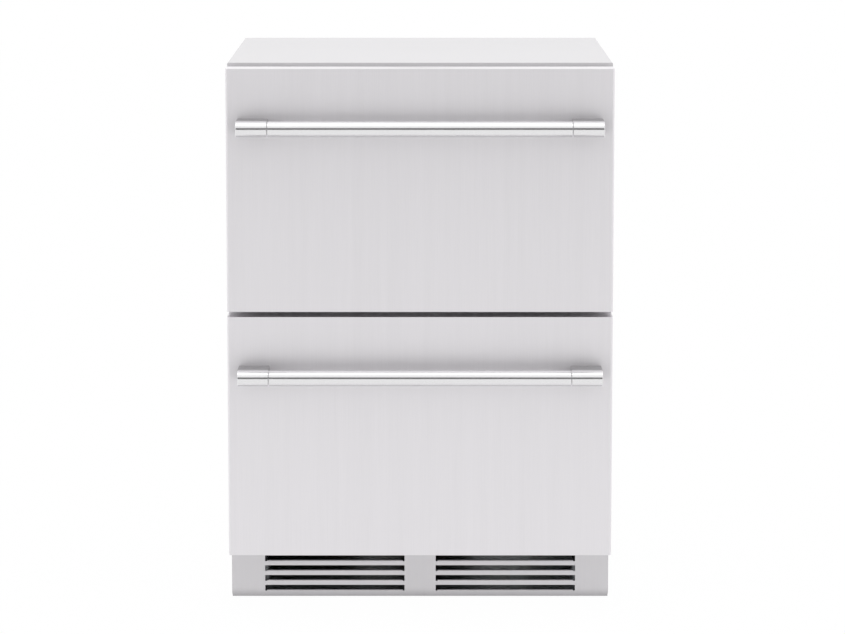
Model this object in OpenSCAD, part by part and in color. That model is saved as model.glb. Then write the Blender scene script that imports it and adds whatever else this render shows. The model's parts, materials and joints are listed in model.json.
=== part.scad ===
// Undercounter drawer refrigerator: two insulated drawers, one above the other, on
// ball-bearing slides in a cabinet whose machine compartment breathes through the
// louvred kick plate.
// Millimetres. The origin is the centre of the footprint on the floor, +Z is up, and
// the drawers open towards -Y.

/* [Cabinet] */
// Width of the cabinet and of each drawer front
body_w = 595; // [570:1:620]
// Depth of the cabinet behind the drawer fronts
case_d = 544; // [535:1:580]
// Open space under the kick plate
floor_gap = 20; // [17:1:30]
// Height from the kick plate's lower edge to the lower drawer front
plinth_h = 81; // [75:1:95]
// How far the case rises above the upper drawer front
top_lip = 5; // [2:0.5:12]
// Sheet thickness of the case, its back and its rear cover
skin_t = 1.2; // [1:0.1:1.6]
// Width of the case's front flange
flange_w = 14; // [10:1:20]
// Foam thickness in the side walls
side_foam = 38; // [34:1:42]
// Foam thickness in the rear wall
rear_foam = 40; // [34:1:46]
// Wall thickness of the moulded liners
liner_t = 2; // [1.5:0.1:3]
// Corner radius of the liners
liner_r = 12; // [6:1:20]
// Thickness of the face frame
frame_t = 3; // [2.5:0.1:4]

/* [Machine compartment] */
// Depth of the machine compartment
machine_d = 190; // [186:1:196]
// Height of the machine compartment above the kick plate's lower edge
machine_h = 248; // [244:1:256]
// Foam thickness over the machine compartment
hump_foam = 29; // [24:1:32]
// Sheet thickness of the stepped deck and the base pan
deck_t = 1.5; // [1.2:0.1:2]

/* [Kick plate] */
// How far the kick plate stands behind the case's front edge
kick_recess = 12.5; // [6:0.5:24]
// How far the kick plate stands in from the case's sides
kick_inset = 1.5; // [0:0.5:3]
// Sheet thickness of the kick plate
kick_t = 1.2; // [0.8:0.1:1.6]
// Depth of the kick plate's folded edges
kick_fold = 14; // [10:1:20]
// Width of one group of louvres
louvre_w = 220; // [180:1:235]
// Plain metal between the two groups of louvres
louvre_bridge = 49; // [40:1:70]
// Louvres in one group
louvre_rows = 4; // [2:1:4]
// Height from one louvre to the next
louvre_pitch = 15.8; // [14:0.1:17]
// Height of one louvre's slot
louvre_slot = 9.4; // [7:0.1:11]
// Height of the lowest slot above the kick plate's lower edge
louvre_rise = 8.5; // [5:0.5:12]
// Bend radius of a louvre's rolled lip
lip_r = 1.8; // [1.5:0.1:3]
// Depth of a louvre's rolled lip
lip_d = 4.5; // [3:0.5:7]
// Width of the relief notch at each end of a lip
notch_w = 3; // [2:0.5:5]

/* [Drawer fronts] */
// Height of one drawer front
front_h = 375; // [370:0.5:385]
// Gap between the two drawer fronts
front_gap = 8; // [4:1:12]
// Thickness of a drawer front
front_t = 48; // [42:1:54]
// Space between a closed front and the case, which the gasket fills
gasket_gap = 8; // [6:0.5:10]
// Edge radius of a drawer front
edge_r = 3.5; // [2:0.5:6]
// Sheet thickness of a front's metal skin
front_skin_t = 1; // [0.8:0.1:1.5]
// How far a front overlaps the rails above and below its opening
rail_overlap = 26; // [24:0.5:30]
// Width of the gasket
gasket_w = 12; // [10:0.5:14]
// Distance from a front's edge to its gasket
gasket_inset = 6; // [4:0.5:8]
// How far a front's inner pan stands into the cabinet
pan_rise = 14; // [11:1:18]
// Space round a front's inner pan in the opening
pan_gap = 8; // [6:1:9]

/* [Handles] */
// Length of a handle over its end pieces
handle_len = 560; // [480:1:565]
// Diameter of a handle
handle_d = 24; // [20:1:30]
// Distance from a front to the handle's axis
handle_reach = 45; // [35:1:60]
// Distance from a front's top edge to the handle's axis
handle_drop = 88; // [40:1:120]
// Width of a handle's end piece
handle_end_w = 48; // [40:1:70]
// Wall thickness of the handle tube
handle_wall = 2; // [1.5:0.1:3]
// Length of the spigot that carries the tube
spigot_l = 15; // [10:1:25]
// Thread diameter of the handle screws
handle_screw_d = 5; // [4:0.5:6]

/* [Drawer slides] */
// Length of each slide member
slide_len = 430; // [424:1:434]
// Height of a slide
slide_h = 45; // [42:1:48]
// Thickness of a closed slide
slide_t = 12.7; // [12.7:0.1:14]
// Sheet thickness of the slide members
slide_sheet = 1.2; // [1:0.1:1.3]
// Height of a slide's centre line above the floor of its opening
slide_rise = 205; // [200:1:215]
// How far a drawer opens
drawer_travel = 400; // [340:1:400]
// Ball diameter between the outer and the middle member
outer_ball_d = 4; // [3.6:0.1:4.2]
// Ball diameter between the middle and the inner member
inner_ball_d = 3.2; // [2.8:0.1:3.4]
// Length of a ball cage
cage_len = 200; // [160:1:210]
// Balls in one row of a cage
cage_balls = 8; // [4:1:10]

/* [Bins] */
// Wall thickness of a bin
bin_t = 3; // [2:0.5:4]
// Distance that a bin's walls lean in from the rim to its floor
bin_draft = 8; // [4:1:12]
// Corner radius of a bin
bin_r = 26; // [18:1:40]
// Space under a bin
bin_clear = 12; // [8:1:20]
// Height of a bin's rim above the slide's centre line
rim_rise = 42; // [36:1:50]
// Sheet thickness of the drawer frames
rack_t = 1.5; // [1.2:0.1:2]
// Width of the flange that carries a bin's rim
ledge_w = 12; // [10:1:14]

/* [Cooling circuit] */
// Radius of the compressor's shell
comp_r = 66; // [60:1:68]
// Height of the compressor's shell
comp_h = 150; // [135:1:155]
// Outer diameter of the suction and discharge lines
line_d = 8; // [6:0.5:9]
// Outer diameter of the capillary
capillary_d = 4; // [3:0.5:5]
// Bend radius of the lines
bend_r = 10; // [9:0.5:11]
// Outer diameter of the coils' tubes
coil_d = 8; // [6:0.5:9]
// Fin thickness of the coils
fin_t = 0.8; // [0.6:0.1:1]
// Radius of the condenser fan
fan_r = 70; // [55:1:72]
// Radius of the evaporator fan
cold_fan_r = 44; // [36:1:46]
// Depth of the evaporator's cover
cover_d = 55; // [54:1:58]

/* [Levelling legs] */
// Diameter of a leg's foot
foot_d = 34; // [28:1:44]
// Thickness of a leg's foot
foot_h = 9; // [7:0.5:10]
// Diameter of a leg's threaded stud
stud_d = 10; // [8:0.5:12]
// How far a leg screws out
leg_travel = 25; // [15:1:28]
// Distance from the case's side to a leg
leg_side = 48; // [40:1:70]
// Distance from the kick plate to a front leg
leg_front = 110; // [90:1:140]
// Distance from the case's back to a rear leg
leg_rear = 42; // [38:1:50]

/* [Hidden] */
$fn = 48;

// Clearances: between pieces that move past each other, round a shaft, round a screw,
// round a pipe in a wall, and between foam and the shell that holds it
play = 0.3;
shaft_play = 0.05;
screw_play = 0.1;
pipe_play = 0.5;
foam_play = 0.1;
// Overlap that fuses two shapes of one piece
eps = 0.01;

// Heights of the case
lower_z = floor_gap + plinth_h;
upper_z = lower_z + front_h + front_gap;
case_top = upper_z + front_h + top_lip;
kick_under = 2;
kick_top = floor_gap + plinth_h - kick_under;
pan_top = floor_gap + skin_t + deck_t;
deck_low = lower_z;
deck_high = floor_gap + machine_h;
hump_top = deck_high + hump_foam + liner_t;
open_h = front_h - 2 * rail_overlap;
open_low = lower_z + rail_overlap;
open_up = upper_z + rail_overlap;

// Depths, from the handle's front to the case's back
total_d = case_d + gasket_gap + front_t + handle_reach + handle_d / 2;
y_back = total_d / 2;
y_case = y_back - case_d;
y_rear = y_case - gasket_gap;
y_face = y_rear - front_t;
y_handle = y_face - handle_reach;
y_kick = y_case + kick_recess;
y_fold = y_kick + kick_t + kick_fold;
y_liner = y_case + frame_t;
y_liner_back = y_back - skin_t - rear_foam - liner_t;
y_machine = y_back - machine_d;
y_hump = y_machine - hump_foam - liner_t;
y_pan = y_rear + pan_rise;
slide_start = 1.5;
y_slide = y_pan + slide_start;
y_slide_end = y_slide + slide_len;
y_riser = y_back - skin_t - rear_foam / 2;
y_cold = y_liner_back - cover_d;
y_rack = y_slide_end;
// The rear cover is sunk so that its screws and the cord's gland stay inside the depth
rear_recess = 4;
y_cover = y_back - rear_recess - skin_t;
// The base pan and the deck turn up and down against the rear cover
y_flange = y_cover;
y_inside = y_flange - deck_t;

// Half widths
half_w = body_w / 2;
half_in = half_w - skin_t;
half_open = half_in - side_foam - liner_t;
half_rack = half_open - slide_t;
half_bin = half_rack - rack_t - ledge_w - play;

// Case
case_bend = 2;
flange_fold = 8;
side_foot = 30;
pan_edge = 18;
baffle_t = 1.5;
// Screw holes for an anti-tip bracket
bracket_pitch = 80;
bracket_drop = 60;
bracket_hole_d = 4;

// Legs
leg_x = half_w - leg_side;
leg_y = [y_kick + leg_front, y_back - leg_rear];
socket_h = 24;
socket_wall = 4;
hex_h = 7;

// Compressor on its four rubber mounts
comp_side = 131.3;
comp_x = comp_side - half_in;
comp_front = 20;
comp_y = y_machine + comp_front + comp_r;
comp_dome = 34;
seam_rim = 2;
seam_h = 6;
mount_h = 12;
mount_stud_d = 8;
mount_neck_r = 7;
foot_plate_t = 3;
comp_mount_x = [-60, 60];
comp_mount_y = [-44, 44];
comp_z = pan_top + mount_h + foot_plate_t;
stub_wall = 2;

// Condenser: two columns of tube in flat fins
cond_x = [52, 80];
cond_rows = 7;
cond_step = 28;
cond_z0 = pan_top + 24;
cond_y0 = y_machine + 34;
cond_y1 = y_inside - 28;
cond_fins = 14;
fin_margin = 12;

// Fans
fan_y = (y_machine + y_flange) / 2;
fan_rise = 112;
fan_z = floor_gap + fan_rise;
fan_gap = 4;
ring_t = 3;
shroud_d = 26;
motor_r = 24;
motor_l = 34;
shaft_r = 2.5;
shaft_in = 18;
hub_r = 16;
hub_l = 20;
blade_t = 1.6;
cold_fan_z = open_up + open_h - 68;
cold_motor_l = 22;
cold_motor_r = 16;
cold_ring_d = 20;
cold_hub_l = 15;

// Evaporator and its cover
evap_x = half_open - 70;
evap_behind = 14;
evap_pitch = 22;
evap_y = [y_liner_back - evap_behind - evap_pitch, y_liner_back - evap_behind];
evap_rows = 5;
evap_step = 26;
evap_z0 = open_up + 78;
evap_fins = 22;
cover_half = half_open - 14;
cover_low = open_up + 4;
cover_high = open_up + open_h - 6;
cover_t = 2.5;

// Control panel and light strips, under the roofs of the liners
panel_half = 95;
panel_y = 20;
panel_d = 60;
panel_t = 16;
panel_r = 3;
key_r = 8;
key_pitch = 30;
key_deep = 1;
led_half = 160;
led_y = 100;
led_d = 14;
led_t = 8;
led_r = 2.5;

// Drip tray and drain
tray_w = 144;
tray_h = 36;
tray_t = 2;
tray_z = comp_z + comp_h;
drain_x = comp_x;
drain_d = 12;
drain_z = open_up + 14;
drain_bend = 9;

// Routes of the lines
discharge_bend = 8;
discharge_y = y_machine + 7;
discharge_z = cond_z0;
discharge_rise = 105;
discharge_top = comp_z + discharge_rise;
riser_room = 8;
suction_run_z = deck_high - 16;
suction_in_z = comp_z + 62;
suction_drop_x = comp_x + comp_r + 20;
suction_x = half_open - 42;
suction_z = evap_z0 - 30;
capillary_x = half_open - 26;
capillary_z = evap_z0;
capillary_run_z = suction_run_z - 20;
drier_side = 106.3;
drier_x = half_in - drier_side;
drier_r = 11;
drier_l = 90;
drier_y = y_machine + drier_r + 3;
drier_z = cond_z0 + 20;
drier_neck = 8;

// Rear cover and the cord's gland
cover_screw_d = 4;
cover_screw_l = 9;
cover_head_l = 2.4;
cross_deep = 1.2;
cross_w = 1;
cover_screw_low = 12;
cover_screw_top = 10;
cover_screw_side = 40;
cover_screw_mid = 95;
cover_screw_x = [-half_in + cover_screw_side, -cover_screw_mid,
                 cover_screw_mid, half_in - cover_screw_side];
cover_slots = 8;
cover_slot_w = 150;
cover_slot_h = 5;
cover_slot_pitch = 12;
gland_x = half_in - 90;
gland_z = floor_gap + 45;
gland_neck_r = 8;
cord_hole_r = 4.5;

// Slide sections, in u (away from the liner's wall) and z: each member is a channel,
// and each ball rolls between two flanges, with play on both sides
outer_half = slide_h / 2;
outer_row_z = outer_half - slide_sheet - play - outer_ball_d / 2;
middle_half = outer_row_z - outer_ball_d / 2 - play;
inner_row_z = middle_half - slide_sheet - play - inner_ball_d / 2;
inner_half = inner_row_z - inner_ball_d / 2 - play;
cage_t = 0.5;
row_t = 0.8;
outer_cage_u = slide_sheet + play;
middle_u = outer_cage_u + cage_t + play;
inner_cage_u = middle_u + slide_sheet + play;
outer_row_u = middle_u + 3;
inner_row_u = inner_cage_u + 3.1;
middle_tip = slide_t - 1.3;
outer_tip = slide_t - 2.2;
inner_tip = inner_cage_u + cage_t + play;
lip_h = 2.4;
cage_start = drawer_travel / 4 + 10;

// Drawers
pan_w = 2 * (half_open - pan_gap);
pan_h = open_h - 2 * pan_gap;
skin_hem = 8;
handle_head_l = 5;
handle_screw_in = 20;
rack_drop = slide_h / 2 + 6;
rack_screw_d = 4;
rack_screw_l = 14;
rack_head_l = 2.4;
rack_screw_low = 12;
rack_screw_top = 14;
rack_screw_side = 1;
rack_slot_start = 60;
rack_slot_pitch = 110;
rack_slot_l = 70;
rack_slot_end = 100;
rack_slot_edge = 6;
rail_drop = 30;
rack_flange_w = 22;
rail_fold = 10;
bin_h = slide_rise + rim_rise - bin_clear;
bin_front = 6;
bin_back = 3;
bin_y0 = y_pan + bin_front;
bin_y1 = y_rack - rail_fold - bin_back;
rim_w = ledge_w - 1;
rim_t = 3;
hump_gap = 8;

// ---------------------------------------------------------------- shared shapes

// A box from one corner to the opposite one
module span(a, b) {
    translate(a) cube(b - a);
}

// A flat outline drawn in X and Z, as thick as y0 to y1
module plate_xz(y0, y1) {
    translate([0, y1, 0]) rotate([90, 0, 0]) linear_extrude(y1 - y0) children();
}

// A flat outline drawn in Y and Z, as long as x0 to x1
module bar_yz(x0, x1) {
    translate([x0, 0, 0]) rotate([90, 0, 90]) linear_extrude(x1 - x0) children();
}

module both_sides() {
    children();
    mirror([1, 0, 0]) children();
}

module rect(x0, z0, x1, z1) {
    translate([x0, z0]) square([x1 - x0, z1 - z0]);
}

module round_rect(x0, z0, x1, z1, r) {
    rect(x0 + r, z0, x1 - r, z1);
    rect(x0, z0 + r, x1, z1 - r);
    for (x = [x0 + r, x1 - r], z = [z0 + r, z1 - r])
        translate([x, z]) circle(r);
}

// A cylinder along X or Y
module rod_x(x0, x1, r) {
    translate([x0, 0, 0]) rotate([0, 90, 0]) cylinder(r = r, h = x1 - x0);
}

module rod_y(y0, y1, r) {
    translate([0, y0, 0]) rotate([-90, 0, 0]) cylinder(r = r, h = y1 - y0);
}

// A pipe through its corner points, with true bends
function unit(v) = v / norm(v);
function turn_angle(p, i) =
    acos(max(-1, min(1, unit(p[i] - p[i - 1]) * unit(p[i + 1] - p[i]))));
function trim(p, i, bend) =
    (i == 0 || i == len(p) - 1) ? 0 : bend * tan(turn_angle(p, i) / 2);

module pipe(p, r, bend) {
    for (i = [0 : len(p) - 2]) {
        along = unit(p[i + 1] - p[i]);
        start = p[i] + along * trim(p, i, bend);
        stop = p[i + 1] - along * trim(p, i + 1, bend);
        if (norm(stop - start) > eps)
            rod_between(start, stop, r);
    }
    for (i = [1 : 1 : len(p) - 2])
        elbow(p[i], unit(p[i] - p[i - 1]), unit(p[i + 1] - p[i]), r, bend, turn_angle(p, i));
}

module rod_between(a, b, r) {
    d = b - a;
    tilt = acos(d[2] / norm(d));
    heading = atan2(d[1], d[0]);
    translate(a) rotate([0, tilt, heading]) cylinder(r = r, h = norm(d));
}

module elbow(corner, into, out, r, bend, angle) {
    side = unit(out - into * (into * out));
    up = cross(-side, into);
    start = corner - into * bend * tan(angle / 2);
    centre = start + side * bend;
    multmatrix([
        [-side[0], into[0], up[0], centre[0]],
        [-side[1], into[1], up[1], centre[1]],
        [-side[2], into[2], up[2], centre[2]],
        [0, 0, 0, 1]])
        rotate_extrude(angle = angle) translate([bend, 0]) circle(r);
}

// ---------------------------------------------------------------- cabinet shell

module outer_wrapper() {
    color("gainsboro")
    difference() {
        union() {
            // Top and sides
            plate_xz(y_case, y_back) difference() {
                union() {
                    rect(-half_w, floor_gap, half_w, case_top - case_bend);
                    rect(-half_w + case_bend, floor_gap, half_w - case_bend, case_top);
                    for (x = [-half_w + case_bend, half_w - case_bend])
                        translate([x, case_top - case_bend]) circle(case_bend);
                }
                rect(-half_in, floor_gap - 1, half_in, case_top - skin_t);
            }
            // Front flange, folded in round the opening
            plate_xz(y_case, y_case + skin_t) difference() {
                rect(-half_in - eps, lower_z, half_in + eps, case_top - skin_t + eps);
                rect(-half_in + flange_w, lower_z - 1,
                     half_in - flange_w, case_top - skin_t - flange_fold);
            }
            // Feet of the sides, folded in under the base pan
            both_sides()
                span([half_in - side_foot, y_fold, floor_gap],
                     [half_in + eps, y_back, floor_gap + skin_t]);
        }
        // Toe space for the kick plate
        span([-half_w - 1, y_case - 1, floor_gap - 1], [half_w + 1, y_fold, kick_top]);
    }
}

module back_panel() {
    color("silver")
    difference() {
        span([-half_in, y_back - skin_t, deck_high],
             [half_in, y_back, case_top - skin_t]);
        for (x = [-1, 1])
            translate([x * bracket_pitch / 2, 0, case_top - bracket_drop])
                rod_y(y_back - skin_t - 1, y_back + 1, bracket_hole_d / 2);
    }
}

module base_pan() {
    color("silver")
    difference() {
        union() {
            span([-half_in, y_fold, floor_gap + skin_t], [half_in, y_flange, pan_top]);
            // Upturned edges
            both_sides()
                span([half_in - deck_t, y_fold, floor_gap + skin_t],
                     [half_in, y_flange, pan_top + pan_edge]);
            span([-half_in, y_inside, floor_gap + skin_t],
                 [half_in, y_flange, pan_top + pan_edge]);
            // Threaded sockets for the legs
            for (x = [-leg_x, leg_x], y = leg_y)
                translate([x, y, pan_top - eps])
                    cylinder(r = stud_d / 2 + socket_wall, h = socket_h);
            // Studs that carry the compressor's mounts
            for (x = comp_mount_x, y = comp_mount_y)
                translate([comp_x + x, comp_y + y, pan_top - eps])
                    cylinder(r = mount_stud_d / 2, h = mount_h + foot_plate_t + 6);
        }
        for (x = [-leg_x, leg_x], y = leg_y)
            translate([x, y, floor_gap])
                cylinder(r = stud_d / 2 + shaft_play, h = socket_h + 20);
        for (x = cover_screw_x)
            translate([x, 0, floor_gap + cover_screw_low])
                rod_y(y_inside - 1, y_flange + 1, cover_screw_d / 2 + screw_play);
    }
}

module compartment_deck() {
    color("silver")
    difference() {
        bar_yz(-half_in, half_in) polygon([
            [y_case + frame_t, deck_low - deck_t],
            [y_machine, deck_low - deck_t],
            [y_machine, deck_high - deck_t],
            [y_inside, deck_high - deck_t],
            [y_inside, deck_high - pan_edge],
            [y_flange, deck_high - pan_edge],
            [y_flange, deck_high],
            [y_machine - deck_t, deck_high],
            [y_machine - deck_t, deck_low],
            [y_case + frame_t, deck_low]]);
        // Ways through for the drain and the two lines
        translate([drain_x, y_riser, deck_high - deck_t - 1])
            cylinder(r = drain_d / 2 + pipe_play, h = deck_t + 2);
        span([suction_x - riser_room, y_riser - riser_room, deck_high - deck_t - 1],
             [capillary_x + riser_room, y_riser + riser_room, deck_high + 1]);
        for (x = cover_screw_x)
            translate([x, 0, deck_high - cover_screw_top])
                rod_y(y_inside - 1, y_flange + 1, cover_screw_d / 2 + screw_play);
    }
}

// Side view of one liner's space, grown by a wall
module liner_outline(z, grow) {
    round_rect(-half_open - grow, z - grow, half_open + grow, z + open_h + grow,
               liner_r + grow);
}

// The rear of the lower liner steps up over the machine compartment
module hump_block(grow) {
    span([-half_in - 1, y_hump - grow, deck_low - rail_overlap - 40],
         [half_in + 1, y_back, hump_top + grow]);
}

module upper_space(grow, y_front) {
    plate_xz(y_front, y_liner_back + grow) liner_outline(open_up, grow);
}

module lower_space(grow, y_front) {
    difference() {
        plate_xz(y_front, y_liner_back + grow) liner_outline(open_low, grow);
        hump_block(-grow);
    }
}

module upper_liner() {
    color("white")
    difference() {
        upper_space(liner_t, y_liner);
        upper_space(0, y_liner - 1);
        translate([drain_x, 0, drain_z])
            rod_y(y_liner_back - 1, y_liner_back + liner_t + 1, drain_d / 2 + pipe_play);
        translate([suction_x, 0, suction_z])
            rod_y(y_liner_back - 1, y_liner_back + liner_t + 1, line_d / 2 + pipe_play);
        translate([capillary_x, 0, capillary_z])
            rod_y(y_liner_back - 1, y_liner_back + liner_t + 1,
                  capillary_d / 2 + pipe_play);
    }
}

module lower_liner() {
    color("white")
    difference() {
        lower_space(liner_t, y_liner);
        lower_space(0, y_liner - 1);
    }
}

module cabinet_foam() {
    color("khaki")
    difference() {
        bar_yz(-half_in, half_in) polygon([
            [y_liner, deck_low],
            [y_machine - deck_t, deck_low],
            [y_machine - deck_t, deck_high],
            [y_back - skin_t, deck_high],
            [y_back - skin_t, case_top - skin_t],
            [y_liner, case_top - skin_t]]);
        upper_space(liner_t + foam_play, y_liner - 1);
        lower_space(liner_t + foam_play, y_liner - 1);
        // Channels of the lines and the drain
        span([suction_x - riser_room, y_riser - riser_room, deck_high - 1],
             [capillary_x + riser_room, y_riser + riser_room, capillary_z + riser_room]);
        span([suction_x - riser_room, y_liner_back, suction_z - riser_room],
             [capillary_x + riser_room, y_riser, capillary_z + riser_room]);
        span([drain_x - riser_room, y_riser - riser_room, deck_high - 1],
             [drain_x + riser_room, y_riser + riser_room, drain_z + riser_room]);
        span([drain_x - riser_room, y_liner_back, drain_z - riser_room],
             [drain_x + riser_room, y_riser, drain_z + riser_room]);
    }
}

module front_frame() {
    color("gainsboro")
    difference() {
        union() {
            plate_xz(y_case + skin_t, y_liner)
                rect(-half_in, lower_z, half_in, case_top - skin_t);
            plate_xz(y_case, y_liner)
                rect(-half_in + flange_w, lower_z,
                     half_in - flange_w, case_top - skin_t - flange_fold);
        }
        plate_xz(y_case - 1, y_liner + 1) liner_outline(open_low, 0);
        plate_xz(y_case - 1, y_liner + 1) liner_outline(open_up, 0);
    }
}

// ---------------------------------------------------------------- kick plate

// Section of one louvre's rolled lip: the sheet bends inwards over the slot's lower edge
module lip_section() {
    difference() {
        union() {
            intersection() {
                translate([lip_r, 0]) circle(lip_r);
                rect(0, 0, lip_r, lip_r);
            }
            rect(lip_r, lip_r - kick_t, lip_d, lip_r);
        }
        translate([lip_r, 0]) circle(lip_r - kick_t);
    }
}

module kick_plate() {
    half_kick = half_w - kick_inset;
    slots = [for (i = [0 : louvre_rows - 1]) floor_gap + louvre_rise + i * louvre_pitch];
    starts = [-louvre_bridge / 2 - louvre_w, louvre_bridge / 2];
    color("lightgray")
    union() {
        difference() {
            span([-half_kick, y_kick, floor_gap], [half_kick, y_kick + kick_t, kick_top]);
            for (x = starts, z = slots)
                plate_xz(y_kick - 1, y_kick + kick_t + 1)
                    round_rect(x, z, x + louvre_w, z + louvre_slot, 1);
        }
        for (x = starts, z = slots)
            translate([0, y_kick, z])
                bar_yz(x + notch_w, x + louvre_w - notch_w) lip_section();
        // Folded edges
        both_sides()
            span([half_kick - kick_t, y_kick, floor_gap], [half_kick, y_fold, kick_top]);
        span([-half_kick, y_kick, kick_top - kick_t], [half_kick, y_fold, kick_top]);
        span([-half_kick, y_kick, floor_gap], [half_kick, y_fold - 1, floor_gap + kick_t]);
    }
}

// ---------------------------------------------------------------- machine compartment

module air_baffle() {
    color("darkgray")
    difference() {
        bar_yz(-baffle_t / 2, baffle_t / 2) polygon([
            [y_fold, pan_top],
            [y_inside, pan_top],
            [y_inside, deck_high - deck_t],
            [y_machine, deck_high - deck_t],
            [y_machine, deck_low - deck_t],
            [y_fold, deck_low - deck_t]]);
        translate([0, fan_y, fan_z]) rod_x(-baffle_t, baffle_t, fan_r + fan_gap);
        for (at = [[discharge_y, discharge_z], [y_riser, suction_run_z]])
            translate([0, at[0], at[1]]) rod_x(-baffle_t, baffle_t, line_d / 2 + pipe_play);
    }
}

module condenser_fan_shroud() {
    color("dimgray")
    difference() {
        translate([0, fan_y, fan_z]) union() {
            // Flange on the baffle, and the ring round the blades
            rod_x(baffle_t / 2, baffle_t / 2 + 2, fan_r + fan_gap + 10);
            rod_x(baffle_t / 2, baffle_t / 2 + shroud_d, fan_r + fan_gap + ring_t);
        }
        translate([0, fan_y, fan_z])
            rod_x(0, baffle_t + shroud_d + 1, fan_r + fan_gap);
    }
    color("dimgray")
    translate([0, fan_y, fan_z]) difference() {
        union() {
            rod_x(-motor_l - 4, -4, motor_r);
            // Arms from the motor to the baffle
            for (a = [45 : 90 : 315])
                rotate([a, 0, 0])
                    span([-12, -4, motor_r - 2], [-8, 4, fan_r + fan_gap + 8]);
            for (a = [45 : 90 : 315])
                rotate([a, 0, 0])
                    span([-12, -4, fan_r + fan_gap + 3],
                         [-baffle_t / 2, 4, fan_r + fan_gap + 8]);
        }
        rod_x(-motor_l / 2, 0, shaft_r + shaft_play);
    }
}

// Section of a fan blade: a strip bent to an arc
module blade_section(chord) {
    intersection() {
        translate([-chord, 0]) difference() {
            circle(chord + blade_t / 2);
            circle(chord - blade_t / 2);
        }
        square(chord, center = true);
    }
}

// One fan wheel with its hub along +X from the origin
module fan_wheel(r, blades, chord, length) {
    rod_x(0, length, hub_r);
    intersection() {
        rod_x(0, length, r);
        for (i = [0 : blades - 1])
            rotate([i * 360 / blades, 0, 0])
                translate([length / 2, 0, hub_r - 2])
                    rotate([0, 0, -30])
                        linear_extrude(r) blade_section(chord);
    }
}

module condenser_fan_blade() {
    color("dimgray")
    translate([baffle_t / 2 + 3, fan_y, fan_z]) {
        fan_wheel(fan_r, 5, 36, hub_l);
        rod_x(-shaft_in, eps, shaft_r);
    }
}

module compressor() {
    color("#202225")
    union() {
        // Two deep-drawn halves with a welded seam
        translate([comp_x, comp_y, comp_z]) rotate_extrude() {
            square([comp_r - comp_dome, comp_h]);
            translate([0, comp_dome]) square([comp_r, comp_h - 2 * comp_dome]);
            for (z = [comp_dome, comp_h - comp_dome])
                intersection() {
                    translate([comp_r - comp_dome, z]) circle(comp_dome);
                    square([comp_r, comp_h]);
                }
            translate([0, (comp_h - seam_h) / 2]) square([comp_r + seam_rim, seam_h]);
        }
        // Foot plate, holed for the rubber mounts
        difference() {
            translate([comp_x, comp_y, comp_z - foot_plate_t])
                linear_extrude(foot_plate_t + eps) {
                    square([2 * comp_mount_x[1] - 30, 2 * comp_mount_y[1]], center = true);
                    for (y = comp_mount_y)
                        translate([0, y])
                            square([2 * comp_mount_x[1], 26], center = true);
                    for (x = comp_mount_x, y = comp_mount_y)
                        translate([x, y]) circle(13);
                }
            for (x = comp_mount_x, y = comp_mount_y)
                translate([comp_x + x, comp_y + y, comp_z - foot_plate_t - 1])
                    cylinder(r = mount_neck_r + shaft_play, h = foot_plate_t + 2);
        }
        // Stubs that the lines are brazed into
        translate([comp_x, 0, discharge_top])
            rod_y(discharge_y + discharge_bend, comp_y - comp_r + 12,
                  line_d / 2 + stub_wall);
        translate([comp_x, 0, suction_in_z])
            rod_y(comp_y + comp_r - 12, y_riser - bend_r, line_d / 2 + stub_wall);
    }
}

module compressor_cover() {
    // Terminal cover on the compressor's outer side
    color("#2b2d31")
    difference() {
        span([comp_x - comp_r - 26, comp_y - 24, comp_z + 44],
             [comp_x - comp_r + 12, comp_y + 24, comp_z + 104]);
        translate([comp_x, comp_y, comp_z + 30]) cylinder(r = comp_r + play, h = 90);
        translate([comp_x, comp_y, comp_z + (comp_h - seam_h) / 2 - play])
            cylinder(r = comp_r + seam_rim + play, h = seam_h + 2 * play);
    }
}

module compressor_mounts() {
    color("#1b1b1b")
    for (x = comp_mount_x, y = comp_mount_y)
        translate([comp_x + x, comp_y + y, pan_top]) rotate_extrude() {
            translate([mount_stud_d / 2 + shaft_play, 0]) square([7, mount_h]);
            translate([mount_stud_d / 2 + shaft_play, 0])
                square([mount_neck_r - mount_stud_d / 2 - shaft_play, mount_h + foot_plate_t]);
            translate([mount_stud_d / 2 + shaft_play, mount_h + foot_plate_t]) square([6, 3]);
        }
}

// A serpentine of straight runs along X at x0..x1, in columns at each y, rows at each z
module serpentine(x0, x1, ys, z0, rows, step, r) {
    back = step / 2;
    for (c = [0, 1]) {
        for (i = [0 : rows - 1])
            translate([0, ys[c], z0 + i * step]) rod_x(x0, x1, r);
        for (i = [0 : rows - 2])
            translate([(i % 2 == 0) ? x1 : x0, ys[c], z0 + (i + 0.5) * step])
                mirror([(i % 2 == 0) ? 0 : 1, 0, 0])
                    rotate([90, 0, 0]) rotate([0, 0, -90])
                        rotate_extrude(angle = 180) translate([back, 0]) circle(r);
    }
    // Cross-over between the columns, at the top
    reach = abs(ys[1] - ys[0]) / 2;
    translate([(rows % 2 == 1) ? x1 : x0, (ys[0] + ys[1]) / 2, z0 + (rows - 1) * step])
        mirror([(rows % 2 == 1) ? 0 : 1, 0, 0])
            rotate([0, 0, -90])
                rotate_extrude(angle = 180) translate([reach, 0]) circle(r);
}

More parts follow.
